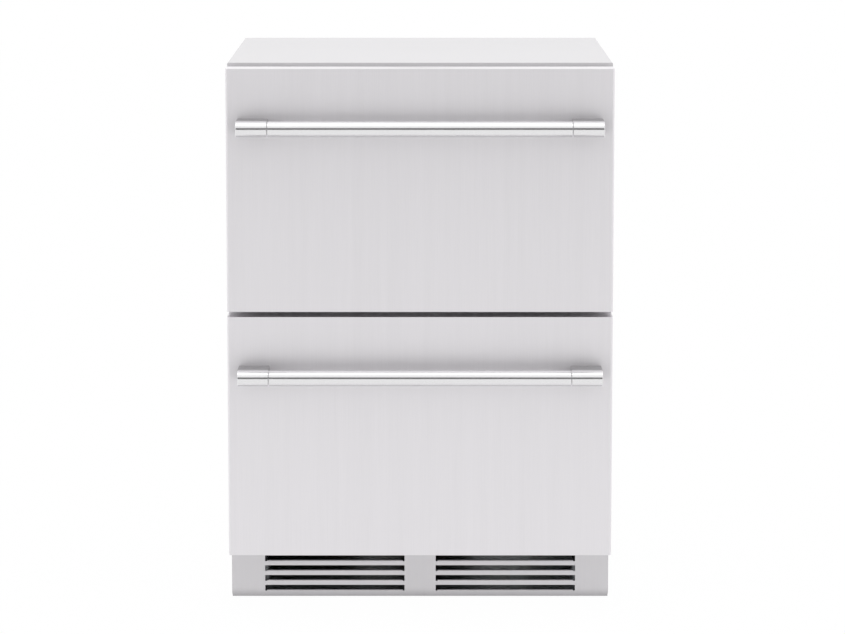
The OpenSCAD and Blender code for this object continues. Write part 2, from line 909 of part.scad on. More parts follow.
module condenser_coil() {
    color("#3a3c40")
    union() {
        // Drawn along X, then turned to run along Y
        rotate([0, 0, 90])
            serpentine(cond_y0, cond_y1, [-cond_x[0], -cond_x[1]], cond_z0, cond_rows,
                       cond_step, coil_d / 2);
        for (i = [0 : cond_fins - 1]) {
            y = cond_y0 + 8 + i * (cond_y1 - cond_y0 - 16) / (cond_fins - 1);
            span([cond_x[0] - fin_margin, y - fin_t / 2, cond_z0 - fin_margin],
                 [cond_x[1] + fin_margin, y + fin_t / 2,
                  cond_z0 + (cond_rows - 1) * cond_step + fin_margin]);
        }
        // Brackets down to the base pan
        for (y = [cond_y0 + 8, cond_y1 - 8])
            span([cond_x[0] - fin_margin, y - 1, pan_top],
                 [cond_x[1] + fin_margin, y + 1, cond_z0 - fin_margin + 4]);
    }
}

module refrigerant_lines() {
    color("#b87333") {
        // Discharge: compressor to condenser
        pipe([[comp_x, discharge_y + discharge_bend, discharge_top],
              [comp_x, discharge_y, discharge_top],
              [comp_x, discharge_y, discharge_z],
              [cond_x[0], discharge_y, discharge_z],
              [cond_x[0], cond_y0, discharge_z]], line_d / 2, discharge_bend);
        // Liquid: condenser to drier
        pipe([[cond_x[1], cond_y0, discharge_z],
              [cond_x[1], drier_y, discharge_z],
              [drier_x, drier_y, discharge_z],
              [drier_x, drier_y, drier_z]], capillary_d / 2, discharge_bend);
        // Capillary: drier to evaporator
        pipe([[drier_x, drier_y, drier_z + drier_l],
              [drier_x, drier_y, capillary_run_z],
              [drier_x, y_riser, capillary_run_z],
              [capillary_x, y_riser, capillary_run_z],
              [capillary_x, y_riser, capillary_z],
              [capillary_x, evap_y[1], capillary_z],
              [evap_x, evap_y[1], capillary_z]], capillary_d / 2, bend_r);
        // Suction: evaporator to compressor
        pipe([[evap_x, evap_y[0], evap_z0],
              [suction_x, evap_y[0], evap_z0],
              [suction_x, evap_y[0], suction_z],
              [suction_x, y_riser, suction_z],
              [suction_x, y_riser, suction_run_z],
              [suction_drop_x, y_riser, suction_run_z],
              [suction_drop_x, y_riser, suction_in_z],
              [comp_x, y_riser, suction_in_z],
              [comp_x, y_riser - bend_r, suction_in_z]], line_d / 2, bend_r);
    }
}

module filter_drier() {
    neck = capillary_d / 2 + 2;
    color("#b87333")
    translate([drier_x, drier_y, drier_z]) rotate_extrude()
        polygon([[0, 0], [neck, 0], [drier_r, drier_neck],
                 [drier_r, drier_l - drier_neck], [neck, drier_l], [0, drier_l]]);
}

module drip_tray() {
    y0 = y_machine + 6;
    y1 = y_inside - 4;
    color("#e8e8e4")
    difference() {
        union() {
            plate_xy(tray_z, tray_z + tray_h) round_rect(comp_x - tray_w / 2, y0,
                                                        comp_x + tray_w / 2, y1, 10);
            plate_xy(tray_z + tray_h - tray_t, tray_z + tray_h)
                round_rect(comp_x - tray_w / 2 - 3, y0 - 3,
                           comp_x + tray_w / 2 + 3, y1 + 3, 13);
        }
        plate_xy(tray_z + tray_t, tray_z + tray_h + 1)
            round_rect(comp_x - tray_w / 2 + tray_t, y0 + tray_t,
                       comp_x + tray_w / 2 - tray_t, y1 - tray_t, 8);
    }
}

module plate_xy(z0, z1) {
    translate([0, 0, z0]) linear_extrude(z1 - z0) children();
}

module drain_tube() {
    color("#d9d9d2")
    difference() {
        pipe([[drain_x, y_liner_back - 12, drain_z],
              [drain_x, y_riser, drain_z],
              [drain_x, y_riser, tray_z + 14]], drain_d / 2, drain_bend);
        pipe([[drain_x, y_liner_back - 13, drain_z],
              [drain_x, y_riser, drain_z],
              [drain_x, y_riser, tray_z + 13]], drain_d / 2 - 1.5, drain_bend);
    }
}

module rear_cover() {
    color("silver")
    difference() {
        span([-half_in, y_cover, floor_gap + skin_t],
             [half_in, y_cover + skin_t, deck_high]);
        for (side = [-1, 1], i = [0 : cover_slots - 1])
            plate_xz(y_cover - 1, y_cover + skin_t + 1)
                translate([side * (cover_slot_w / 2 + 60),
                           floor_gap + 100 + i * cover_slot_pitch])
                    round_rect(-cover_slot_w / 2, 0, cover_slot_w / 2, cover_slot_h,
                               cover_slot_h / 2 - 0.1);
        for (x = cover_screw_x, z = [floor_gap + cover_screw_low,
                                     deck_high - cover_screw_top])
            translate([x, 0, z])
                rod_y(y_cover - 1, y_cover + skin_t + 1, cover_screw_d / 2 + screw_play);
        translate([gland_x, 0, gland_z])
            rod_y(y_cover - 1, y_cover + skin_t + 1, gland_neck_r + screw_play);
    }
}

module rear_cover_screws() {
    color("gray")
    for (x = cover_screw_x, z = [floor_gap + cover_screw_low,
                                 deck_high - cover_screw_top])
        translate([x, 0, z]) difference() {
            union() {
                rod_y(y_cover - cover_screw_l, y_cover + skin_t + eps, cover_screw_d / 2);
                rod_y(y_cover + skin_t, y_cover + skin_t + cover_head_l, cover_screw_d);
            }
            // Cross recess
            for (a = [0, 90]) rotate([0, a, 0])
                span([-cover_head_l, y_cover + skin_t + cross_deep, -cross_w / 2],
                     [cover_head_l, y_cover + skin_t + cover_head_l + 1, cross_w / 2]);
        }
}

module cord_gland() {
    color("#1b1b1b")
    translate([gland_x, 0, gland_z]) difference() {
        union() {
            rod_y(y_cover - 8, y_cover, gland_neck_r + 2.5);
            rod_y(y_cover - eps, y_cover + skin_t + eps, gland_neck_r);
            rod_y(y_cover + skin_t, y_back - 1, gland_neck_r + 3);
        }
        rod_y(y_cover - 9, y_back, cord_hole_r);
    }
}

// ---------------------------------------------------------------- cold side

module evaporator_coil() {
    color("silver")
    union() {
        mirror([1, 0, 0])
            serpentine(-evap_x, evap_x, evap_y, evap_z0, evap_rows, evap_step, coil_d / 2);
        for (i = [0 : evap_fins - 1]) {
            x = -evap_x + 10 + i * (2 * evap_x - 20) / (evap_fins - 1);
            span([x - fin_t / 2, evap_y[0] - 9, evap_z0 - 11],
                 [x + fin_t / 2, y_liner_back - 4,
                  evap_z0 + (evap_rows - 1) * evap_step + 11]);
        }
        // End plates that hang the coil on the liner
        for (x = [-evap_x + 10, evap_x - 10])
            span([x - 1, evap_y[0] - 9, evap_z0 - 11],
                 [x + 1, y_liner_back, evap_z0 + (evap_rows - 1) * evap_step + 11]);
    }
}

module evaporator_cover() {
    color("whitesmoke")
    union() {
        difference() {
            plate_xz(y_cold, y_liner_back)
                round_rect(-cover_half, cover_low, cover_half, cover_high, 10);
            plate_xz(y_cold + cover_t, y_liner_back + 1)
                round_rect(-cover_half + cover_t, cover_low + cover_t,
                           cover_half - cover_t, cover_high - cover_t, 10 - cover_t);
            // Air out at the fan, air in along the foot
            translate([0, 0, cold_fan_z])
                rod_y(y_cold - 1, y_cold + cover_t + 1, cold_fan_r + fan_gap);
            for (i = [-5 : 5])
                plate_xz(y_cold - 1, y_cold + cover_t + 1)
                    round_rect(i * 38 - 14, open_up + 24, i * 38 + 14, open_up + 32, 3);
        }
        // Finger guard over the fan
        translate([0, 0, cold_fan_z]) {
            rod_y(y_cold, y_cold + cover_t, 12);
            difference() {
                rod_y(y_cold, y_cold + cover_t, 30);
                rod_y(y_cold - 1, y_cold + cover_t + 1, 27.5);
            }
            for (a = [0 : 45 : 315])
                rotate([0, a, 0])
                    span([10, y_cold, -1.2], [cold_fan_r + fan_gap + 1, y_cold + cover_t, 1.2]);
        }
    }
}

module evap_fan_housing() {
    color("dimgray")
    translate([0, y_cold + cover_t, cold_fan_z]) difference() {
        union() {
            difference() {
                union() {
                    rod_y(0, 2, cold_fan_r + fan_gap + 8);
                    rod_y(0, cold_ring_d, cold_fan_r + fan_gap + ring_t);
                }
                rod_y(-1, cold_ring_d + 1, cold_fan_r + fan_gap);
            }
            rod_y(cold_ring_d + 3, cold_ring_d + 3 + cold_motor_l, cold_motor_r);
            for (a = [45 : 90 : 315])
                rotate([0, a, 0])
                    span([cold_motor_r - 2, cold_ring_d - 1, -3],
                         [cold_fan_r + fan_gap + ring_t, cold_ring_d + 6, 3]);
        }
        rod_y(cold_ring_d, cold_ring_d + 14, shaft_r + shaft_play);
    }
}

module evap_fan_blade() {
    color("dimgray")
    translate([0, y_cold + cover_t + 2, cold_fan_z]) {
        rotate([0, 0, 90]) fan_wheel(cold_fan_r, 5, 24, cold_hub_l);
        rod_y(cold_hub_l - eps, cold_ring_d + 10, shaft_r);
    }
}

module control_panel() {
    z1 = open_up + open_h;
    color("#33363a")
    difference() {
        plate_xz(y_liner + panel_y, y_liner + panel_y + panel_d)
            round_rect(-panel_half, z1 - panel_t, panel_half, z1, panel_r);
        // Recessed keys in the underside
        for (i = [-2 : 2])
            translate([i * key_pitch, y_liner + panel_y + panel_d / 2, z1 - panel_t - 1])
                cylinder(r = key_r, h = 1 + key_deep);
    }
}

module led_strips() {
    color("white")
    for (z = [open_up + open_h, open_low + open_h])
        plate_xz(y_liner + led_y, y_liner + led_y + led_d)
            round_rect(-led_half, z - led_t, led_half, z, led_r);
}

// ---------------------------------------------------------------- levelling legs

module leg(x, y) {
    round_r = 2;
    color("#3a3c40")
    translate([x, y, 0]) union() {
        // Foot with a rounded upper edge, hexagon and stud
        rotate_extrude() {
            square([foot_d / 2 - round_r, foot_h]);
            square([foot_d / 2, foot_h - round_r]);
            translate([foot_d / 2 - round_r, foot_h - round_r]) circle(round_r);
        }
        cylinder(r = stud_d * 0.85, h = foot_h + hex_h, $fn = 6);
        cylinder(r = stud_d / 2, h = pan_top + socket_h + 14);
    }
}

// ---------------------------------------------------------------- drawer slides

// Sections of the slide members, drawn in u (away from the liner's wall) and z.
// Each is a channel; every ball rolls between two flanges, play away from both.
module channel(u0, u1, half, web_at) {
    rect(web_at, -half, web_at + slide_sheet, half);
    for (s = [-1, 1])
        rect(u0, (s > 0) ? half - slide_sheet : -half,
             u1, (s > 0) ? half : -half + slide_sheet);
}

// Extrudes a section along Y on both sides of the cabinet
module on_both_walls(z, y0, y1) {
    both_sides()
        translate([half_open, 0, z]) mirror([1, 0, 0])
            plate_xz(y0, y1) children();
}

module slide_outers() {
    color("lightgray")
    for (z = [open_low + slide_rise, open_up + slide_rise])
        on_both_walls(z, y_slide, y_slide_end) {
            channel(0, outer_tip, outer_half, 0);
            for (s = [-1, 1])
                rect(outer_tip - 1, (s > 0) ? outer_half - 2.4 : -outer_half,
                     outer_tip, (s > 0) ? outer_half : -outer_half + 2.4);
        }
}

module slide_middles(z) {
    color("lightgray")
    on_both_walls(z, y_slide, y_slide_end)
        channel(middle_u, middle_tip, middle_half, middle_u);
}

module slide_inners(z) {
    color("lightgray")
    on_both_walls(z, y_slide, y_slide_end)
        channel(inner_tip, slide_t, inner_half, slide_t - slide_sheet);
}

// A cage: a web with two rows of balls along its flanges
module cage(z, web_u, row_u, row_z, tip_u, ball_d) {
    y0 = y_slide + cage_start;
    pitch = cage_len / cage_balls;
    color("goldenrod")
    union() {
        on_both_walls(z, y0, y0 + cage_len) {
            rect(web_u, -row_z, web_u + cage_t, row_z);
            for (s = [-1, 1])
                rect(web_u, s * row_z - row_t / 2, tip_u, s * row_z + row_t / 2);
        }
        both_sides()
            for (s = [-1, 1], i = [0 : cage_balls - 1])
                translate([half_open - row_u, y0 + (i + 0.5) * pitch, z + s * row_z])
                    sphere(ball_d / 2);
    }
}

module outer_cages(z) {
    cage(z, outer_cage_u, outer_row_u, outer_row_z, outer_row_u + 2.6, outer_ball_d);
}

module inner_cages(z) {
    cage(z, inner_cage_u, inner_row_u, inner_row_z, inner_row_u + 2.2, inner_ball_d);
}

// ---------------------------------------------------------------- drawers
// low is the height of the drawer front's lower edge

// Plan of a drawer front: square at the back, round at the two front edges
module front_plan(grow) {
    x1 = half_w + grow;
    y0 = y_face - grow;
    r = edge_r + grow;
    rect(-x1, y0 + r, x1, y_rear + grow);
    rect(-x1 + r, y0, x1 - r, y0 + r + eps);
    for (s = [-1, 1])
        translate([s * (x1 - r), y0 + r]) circle(r);
}

module handle_screw_places(low) {
    for (s = [-1, 1], i = [-1, 1])
        translate([s * (handle_len / 2 - handle_end_w / 2) + i * handle_end_w / 4, 0,
                   low + front_h - handle_drop])
            children();
}

module front_skin(low) {
    top = low + front_h;
    color("#dcdcde")
    difference() {
        plate_xy(low, top) front_plan(0);
        plate_xy(low + front_skin_t, top - front_skin_t) front_plan(-front_skin_t);
        // Rear opening, inside the folded hem
        span([-half_w + skin_hem, y_rear - 2 * front_skin_t, low + skin_hem],
             [half_w - skin_hem, y_rear + 1, top - skin_hem]);
        handle_screw_places(low)
            rod_y(y_face - 1, y_face + front_skin_t + 1, handle_screw_d / 2 + screw_play);
    }
}

module front_liner(low) {
    top = low + front_h;
    edge = front_skin_t;
    y_under = y_rear - front_skin_t;
    mid = low + front_h / 2;
    color("white")
    difference() {
        union() {
            plate_xz(y_under - liner_t, y_under)
                rect(-half_w + edge, low + edge, half_w - edge, top - edge);
            plate_xz(y_under - eps, y_rear)
                rect(-half_w + skin_hem, low + skin_hem, half_w - skin_hem, top - skin_hem);
            plate_xz(y_rear - eps, y_pan)
                round_rect(-pan_w / 2, mid - pan_h / 2, pan_w / 2, mid + pan_h / 2, liner_r);
        }
        // The pan is hollow towards the foam
        plate_xz(y_under - liner_t - 1, y_pan - liner_t)
            round_rect(-pan_w / 2 + liner_t, mid - pan_h / 2 + liner_t,
                       pan_w / 2 - liner_t, mid + pan_h / 2 - liner_t, liner_r - liner_t);
        rack_screw_places(low)
            rod_y(y_pan - liner_t - 1, y_pan + 1, rack_screw_d / 2 + screw_play);
    }
}

module front_foam(low) {
    top = low + front_h;
    mid = low + front_h / 2;
    y_stop = y_rear - front_skin_t - liner_t;
    pan_in = liner_t + foam_play;
    color("khaki")
    difference() {
        union() {
            intersection() {
                plate_xy(low + front_skin_t, top - front_skin_t)
                    front_plan(-front_skin_t - foam_play);
                span([-half_w, y_face, low], [half_w, y_stop, top]);
            }
            plate_xz(y_stop - eps, y_pan - liner_t)
                round_rect(-pan_w / 2 + pan_in, mid - pan_h / 2 + pan_in,
                           pan_w / 2 - pan_in, mid + pan_h / 2 - pan_in,
                           liner_r - pan_in);
        }
        handle_screw_places(low)
            rod_y(y_face, y_face + front_skin_t + handle_head_l + play, handle_screw_d + play);
        rack_screw_places(low)
            rod_y(y_pan - rack_screw_l - play, y_pan, rack_screw_d / 2 + play);
    }
}

// Rings of different widths make the gasket's base, bellows and magnet strip. Each row
// gives a ring's start and end in depth, and its two edges, as shares of the section
module gasket(low) {
    depth = gasket_gap - play;
    layers = [
        [0, 0.2, 0, 1],
        [0.2, 0.35, 0.18, 0.82],
        [0.35, 0.5, 0.08, 0.92],
        [0.5, 0.62, 0.18, 0.82],
        [0.62, 1, 0.04, 0.96]];
    color("#8d9094")
    union() {
        for (l = layers)
            plate_xz(y_rear + l[0] * depth, y_rear + l[1] * depth)
                gasket_ring(low, l[2] * gasket_w, l[3] * gasket_w);
    }
}

module gasket_ring(low, from, to) {
    a = gasket_inset + from;
    b = gasket_inset + to;
    top = low + front_h;
    difference() {
        rect(-half_w + a, low + a, half_w - a, top - a);
        rect(-half_w + b, low + b, half_w - b, top - b);
    }
}

module handle_tube(low) {
    reach = handle_len / 2 - handle_end_w;
    color("silver")
    translate([0, y_handle, low + front_h - handle_drop]) difference() {
        rod_x(-reach, reach, handle_d / 2);
        rod_x(-reach - 1, reach + 1, handle_d / 2 - handle_wall);
    }
}

// Outline of an end piece from the side: round in front, square at the drawer front
module end_section() {
    circle(handle_d / 2);
    rect(0, -handle_d / 2, handle_reach, handle_d / 2);
}

module handle_ends(low) {
    z = low + front_h - handle_drop;
    x0 = handle_len / 2 - handle_end_w;
    color("silver")
    difference() {
        translate([0, y_handle, z]) both_sides() {
            bar_yz(x0, handle_len / 2) end_section();
            rod_x(x0 - spigot_l, x0 + eps, handle_d / 2 - handle_wall - screw_play);
        }
        handle_screw_places(low)
            rod_y(y_face - handle_screw_in - 1, y_face + 1, handle_screw_d / 2 + screw_play);
    }
}

module rack_screw_places(low) {
    mid_z = low + rail_overlap + slide_rise;
    for (s = [-1, 1], dz = [-rack_drop + rack_screw_low, rim_rise - rack_screw_top])
        translate([s * (half_rack - rack_flange_w / 2 - rack_screw_side), 0, mid_z + dz])
            children();
}

module drawer_screws(low) {
    y_head = y_pan + rack_t;
    color("gray")
    union() {
        handle_screw_places(low) {
            rod_y(y_face - handle_screw_in, y_face + front_skin_t + eps, handle_screw_d / 2);
            rod_y(y_face + front_skin_t, y_face + front_skin_t + handle_head_l, handle_screw_d);
        }
        rack_screw_places(low) {
            rod_y(y_pan - rack_screw_l, y_head + eps, rack_screw_d / 2);
            rod_y(y_head, y_head + rack_head_l, rack_screw_d);
        }
    }
}

module drawer_frame(low) {
    mid_z = low + rail_overlap + slide_rise;
    z0 = mid_z - rack_drop;
    z1 = mid_z + rim_rise;
    color("lightgray")
    difference() {
        union() {
            both_sides() {
                // Side plate, bin ledge and front flange
                span([half_rack - rack_t, y_pan, z0], [half_rack, y_rack, z1]);
                span([half_rack - ledge_w - rack_t, y_pan, z1 - rack_t],
                     [half_rack, y_rack, z1]);
                span([half_rack - rack_flange_w, y_pan, z0],
                     [half_rack, y_pan + rack_t, z1]);
                span([half_rack - ledge_w, y_pan, z0],
                     [half_rack, y_rack, z0 + rack_t]);
            }
            // Rear cross rail, a shallow channel
            span([-half_rack, y_rack - rack_t, z0], [half_rack, y_rack, z1 - rail_drop]);
            span([-half_rack, y_rack - rail_fold, z0],
                 [half_rack, y_rack, z0 + rack_t]);
        }
        // Lightening slots in the side plates
        for (y = [y_slide + rack_slot_start : rack_slot_pitch : y_rack - rack_slot_end])
            bar_yz(-half_rack - 1, half_rack + 1)
                round_rect(y, mid_z + inner_half + rack_slot_edge, y + rack_slot_l,
                           z1 - rack_t - rack_slot_edge, rack_slot_edge);
        rack_screw_places(low)
            rod_y(y_pan - 1, y_pan + rack_t + 1, rack_screw_d / 2 + screw_play);
    }
}

// One tub: a tapered block standing on z0, as wide as its rim at z1
module tub(y0, y1, z0, z1, inset, r) {
    w = 2 * (half_bin - inset);
    l = y1 - y0 - 2 * inset;
    k = bin_draft * (z1 - z0) / bin_h;
    translate([0, (y0 + y1) / 2, z1]) mirror([0, 0, 1])
        linear_extrude(z1 - z0, scale = [1 - 2 * k / w, 1 - 2 * k / l], slices = 1)
            round_rect(-w / 2, -l / 2, w / 2, l / 2, r, $fn = 24);
}

module bin_rim(z) {
    plate_xy(z, z + rim_t)
        round_rect(-half_bin - rim_w, bin_y0 - 3, half_bin + rim_w, bin_y1 + 3, bin_r + 3);
}

module upper_bin() {
    z1 = open_up + slide_rise + rim_rise;
    z0 = open_up + bin_clear;
    color("ghostwhite", 0.9)
    difference() {
        union() {
            tub(bin_y0, bin_y1, z0, z1 + eps, 0, bin_r);
            bin_rim(z1);
        }
        tub(bin_y0, bin_y1, z0 + bin_t, z1 + rim_t + 1, bin_t, bin_r - bin_t);
    }
}

// Everything behind y and under z: the room for the hump over the compartment
module step_block(y, z) {
    translate([-half_w, y, 0]) cube([body_w, case_d, z]);
}

module lower_bin() {
    z1 = open_low + slide_rise + rim_rise;
    z0 = open_low + bin_clear;
    z_step = hump_top + hump_gap;
    y_step = y_hump - hump_gap;
    color("ghostwhite", 0.9)
    difference() {
        union() {
            difference() {
                tub(bin_y0, bin_y1, z0, z1 + eps, 0, bin_r);
                step_block(y_step, z_step);
            }
            bin_rim(z1);
        }
        difference() {
            tub(bin_y0, bin_y1, z0 + bin_t, z1 + rim_t + 1, bin_t, bin_r - bin_t);
            step_block(y_step - bin_t, z_step + bin_t);
        }
    }
}

// ---------------------------------------------------------------- nodes

outer_wrapper();
back_panel();
base_pan();
compartment_deck();
cabinet_foam();
upper_liner();
lower_liner();
front_frame();
kick_plate();
air_baffle();
control_panel();
led_strips();
evaporator_cover();
evaporator_coil();
evap_fan_housing();
evap_fan_blade();
compressor();
compressor_cover();
compressor_mounts();
condenser_coil();
condenser_fan_shroud();
condenser_fan_blade();
drip_tray();
drain_tube();
filter_drier();
refrigerant_lines();
rear_cover();
rear_cover_screws();
cord_gland();
leg(-leg_x, leg_y[0]);  // leg_front_left
leg(leg_x, leg_y[0]);  // leg_front_right
leg(-leg_x, leg_y[1]);  // leg_rear_left
leg(leg_x, leg_y[1]);  // leg_rear_right
slide_outers();
slide_middles(open_up + slide_rise);  // upper_slide_middles
outer_cages(open_up + slide_rise);  // upper_outer_cages
inner_cages(open_up + slide_rise);  // upper_inner_cages
slide_middles(open_low + slide_rise);  // lower_slide_middles
outer_cages(open_low + slide_rise);  // lower_outer_cages
inner_cages(open_low + slide_rise);  // lower_inner_cages
front_skin(upper_z);  // upper_front_skin
front_liner(upper_z);  // upper_front_liner
front_foam(upper_z);  // upper_front_foam
gasket(upper_z);  // upper_gasket
handle_tube(upper_z);  // upper_handle_tube
handle_ends(upper_z);  // upper_handle_ends
drawer_screws(upper_z);  // upper_drawer_screws
drawer_frame(upper_z);  // upper_drawer_frame
upper_bin();
slide_inners(open_up + slide_rise);  // upper_slide_inners
front_skin(lower_z);  // lower_front_skin
front_liner(lower_z);  // lower_front_liner
front_foam(lower_z);  // lower_front_foam
gasket(lower_z);  // lower_gasket
handle_tube(lower_z);  // lower_handle_tube
handle_ends(lower_z);  // lower_handle_ends
drawer_screws(lower_z);  // lower_drawer_screws
drawer_frame(lower_z);  // lower_drawer_frame
lower_bin();
slide_inners(open_low + slide_rise);  // lower_slide_inners
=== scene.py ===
# %% [markdown]
# # An undercounter drawer refrigerator, dressed in Blender
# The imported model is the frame: every solid is already in its place, in metres, with
# the floor at z = 0 and the drawers opening towards -Y. This script gives each solid
# the finish that the real piece has, and makes again those pieces whose form shows more
# than the solids hold, such as the handles, the gaskets and the moulded bins.

# %% Load the frame
import json
import math

import bmesh
import bpy
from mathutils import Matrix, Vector


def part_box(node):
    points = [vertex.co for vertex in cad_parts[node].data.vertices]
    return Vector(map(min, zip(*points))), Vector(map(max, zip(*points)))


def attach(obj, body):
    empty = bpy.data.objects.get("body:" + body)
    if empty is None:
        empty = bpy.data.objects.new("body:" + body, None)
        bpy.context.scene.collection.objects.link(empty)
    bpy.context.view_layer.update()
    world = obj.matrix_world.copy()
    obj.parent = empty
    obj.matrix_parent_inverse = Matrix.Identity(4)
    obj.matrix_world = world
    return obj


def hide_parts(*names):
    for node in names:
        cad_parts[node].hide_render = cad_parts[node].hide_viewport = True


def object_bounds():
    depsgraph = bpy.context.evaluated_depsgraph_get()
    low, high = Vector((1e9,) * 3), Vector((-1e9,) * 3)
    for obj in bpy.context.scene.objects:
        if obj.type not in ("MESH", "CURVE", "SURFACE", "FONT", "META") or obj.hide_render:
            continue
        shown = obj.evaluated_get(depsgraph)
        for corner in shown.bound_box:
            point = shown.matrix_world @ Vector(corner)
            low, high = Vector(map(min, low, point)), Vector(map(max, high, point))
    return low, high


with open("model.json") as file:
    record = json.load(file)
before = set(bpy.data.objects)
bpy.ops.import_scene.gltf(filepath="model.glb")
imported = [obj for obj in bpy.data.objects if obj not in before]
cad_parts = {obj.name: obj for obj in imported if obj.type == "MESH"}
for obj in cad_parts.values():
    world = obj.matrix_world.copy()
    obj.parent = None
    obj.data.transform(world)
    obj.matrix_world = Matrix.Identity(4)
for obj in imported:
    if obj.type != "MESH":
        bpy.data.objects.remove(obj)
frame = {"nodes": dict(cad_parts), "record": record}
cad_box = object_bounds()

nodes = frame["nodes"]
size = [round(1000 * (b - a)) for a, b in zip(*cad_box)]
print("solids:", len(nodes), "pieces,", size, "mm")

# %% [markdown]
# ## Writing a material as a formula
# A finish is a few textures added, multiplied and fed to one shader. Wiring that by
# hand hides the idea, so `Map` wraps an output socket and lets + - * build the Math
# nodes. `Finish` owns one material and makes every other node with a single method.
# All textures read object coordinates, which are metres here, so a grain that is
# written as 900 lines to the metre is as fine as that on every piece.


# %% Maps and finishes
class Map:
    """A value that varies over a surface: one output socket, with arithmetic."""

    def __init__(self, finish, socket):
        self.finish, self.socket = finish, socket

    def math(self, operation, *values):
        return self.finish.node("ShaderNodeMath", {"operation": operation}, values)

    def __add__(self, other):
        return self.math("ADD", self, other)

    def __sub__(self, other):
        return self.math("SUBTRACT", self, other)

    def __rsub__(self, other):
        return self.math("SUBTRACT", other, self)

    def __mul__(self, other):
        return self.math("MULTIPLY", self, other)

    __radd__ = __add__
    __rmul__ = __mul__

    def above(self, low, high):
        """0 under low, 1 over high, with a smooth step between them."""
        return self.finish.node(
            "ShaderNodeMapRange",
            {"interpolation_type": "SMOOTHSTEP"},
            {"Value": self, "From Min": low, "From Max": high},
        )


class Finish:
    """One material: a Principled shader and the maps that feed it."""

    def __init__(self, title, **constants):
        self.material = bpy.data.materials.new(title)
        self.material.use_nodes = True
        self.tree = self.material.node_tree
        self.shader = self.tree.nodes["Principled BSDF"]
        for name, value in constants.items():
            self.shader.inputs[name.replace("_", " ")].default_value = value
        self.place = self.node("ShaderNodeTexCoord", out="Object")

    def node(self, kind, settings=None, values=(), out=0):
        """Makes a node: its settings first, then the values or links of its sockets."""
        made = self.tree.nodes.new(kind)
        for key, value in (settings or {}).items():
            if key == "stops":
                for i, (at, colour) in enumerate(value):
                    stops = made.color_ramp.elements
                    stop = stops[i] if i < len(stops) else stops.new(at)
                    stop.position, stop.color = at, colour
            else:
                setattr(made, key, value)
        pairs = values.items() if isinstance(values, dict) else enumerate(values)
        for key, value in pairs:
            if isinstance(value, Map):
                self.tree.links.new(value.socket, made.inputs[key])
            else:
                made.inputs[key].default_value = value
        return Map(self, made.outputs[out])

    def stretched(self, lines):
        """The place on the piece, scaled by lines to the metre along X, Y and Z."""
        return self.node(
            "ShaderNodeVectorMath", {"operation": "MULTIPLY"}, {0: self.place, 1: lines}
        )

    def noise(self, lines, detail=2.0, roughness=0.5):
        """Cloudy noise with that many lines to the metre along X, Y and Z."""
        return self.node(
            "ShaderNodeTexNoise",
            {},
            {"Vector": self.stretched(lines), "Scale": 1.0, "Detail": detail,
             "Roughness": roughness},
        )

    def cells(self, lines, out="Distance"):
        """Scattered cells, for foam, pores and the spangles of zinc."""
        return self.node(
            "ShaderNodeTexVoronoi",
            {},
            {"Vector": self.stretched(lines), "Scale": 1.0},
            out=out,
        )

    def along(self, axis):
        """The place along one axis, in metres."""
        return self.node("ShaderNodeSeparateXYZ", {}, {0: self.place}, out=axis)

    def up(self):
        """1 where the surface faces up, -1 where it faces down, 0 on an upright one."""
        normal = self.node("ShaderNodeNewGeometry", out="Normal")
        return self.node("ShaderNodeSeparateXYZ", {}, {0: normal}, out="Z")

    def blend(self, share, low, high):
        """From colour low to colour high as share goes from 0 to 1."""
        return self.node(
            "ShaderNodeMix",
            {"data_type": "RGBA"},
            {0: share, 6: (*low, 1), 7: (*high, 1)},
            out=2,
        )

    def feed(self, **maps):
        """Links maps to the shader's own sockets."""
        for name, value in maps.items():
            socket = self.shader.inputs[name.replace("_", " ")]
            self.tree.links.new(value.socket, socket)
        return self

    def relief(self, height, depth, strength=1.0):
        """Raises the surface by height, of 0 to 1, times depth in metres."""
        bump = self.node(
            "ShaderNodeBump",
            {},
            {"Strength": strength, "Distance": depth, "Height": height},
        )
        return self.feed(Normal=bump)


def shade(colour, factor):
    """The same colour, lighter or darker."""
    return tuple(min(1.0, c * factor) for c in colour)


print("helpers: Map for the arithmetic, Finish for the nodes, shade for colours")

# %% [markdown]
# ## Brushed stainless steel
# The fronts and the kick plate are sheet steel, brushed in one direction by a belt. A
# belt leaves fine upright scratches of all lengths: noise stretched a hundred times
# along Z. They change the colour a little, the roughness more, and the relief by a few
# thousandths of a millimetre. A second, wider noise gives the soft columns of light
# that brushed sheet shows from a step away. Upright scratches spread light more to the
# sides than up and down, which is the shader's Anisotropic value. Faces that lie level
# below the top edge, such as the edges in the gap between the fronts, get a painted
# highlight: a lighter colour, and they are smoother too. The foot of the kick plate
# gets a painted shade: a darker colour, for the floor's shadow that it mirrors. Both
# places are found by a map: the way the surface faces, and its height.

# %% Brushed steel
STEEL = (0.855, 0.838, 0.860)
DARKEST, LIGHTEST = 0.56, 1.06  # shades of a steel's colour
SCRATCH_DEPTH = 0.00002
KICK_SHADE = 0.80
FOLDS_UNDER = 0.80  # painted highlight on level faces only under here; the top fold is left out
# the painted shade along the foot of the kick plate: how tall it is, and its top
FOOT_SHADE_H, FOOT_SHADE_TOP = 0.02, 0.035


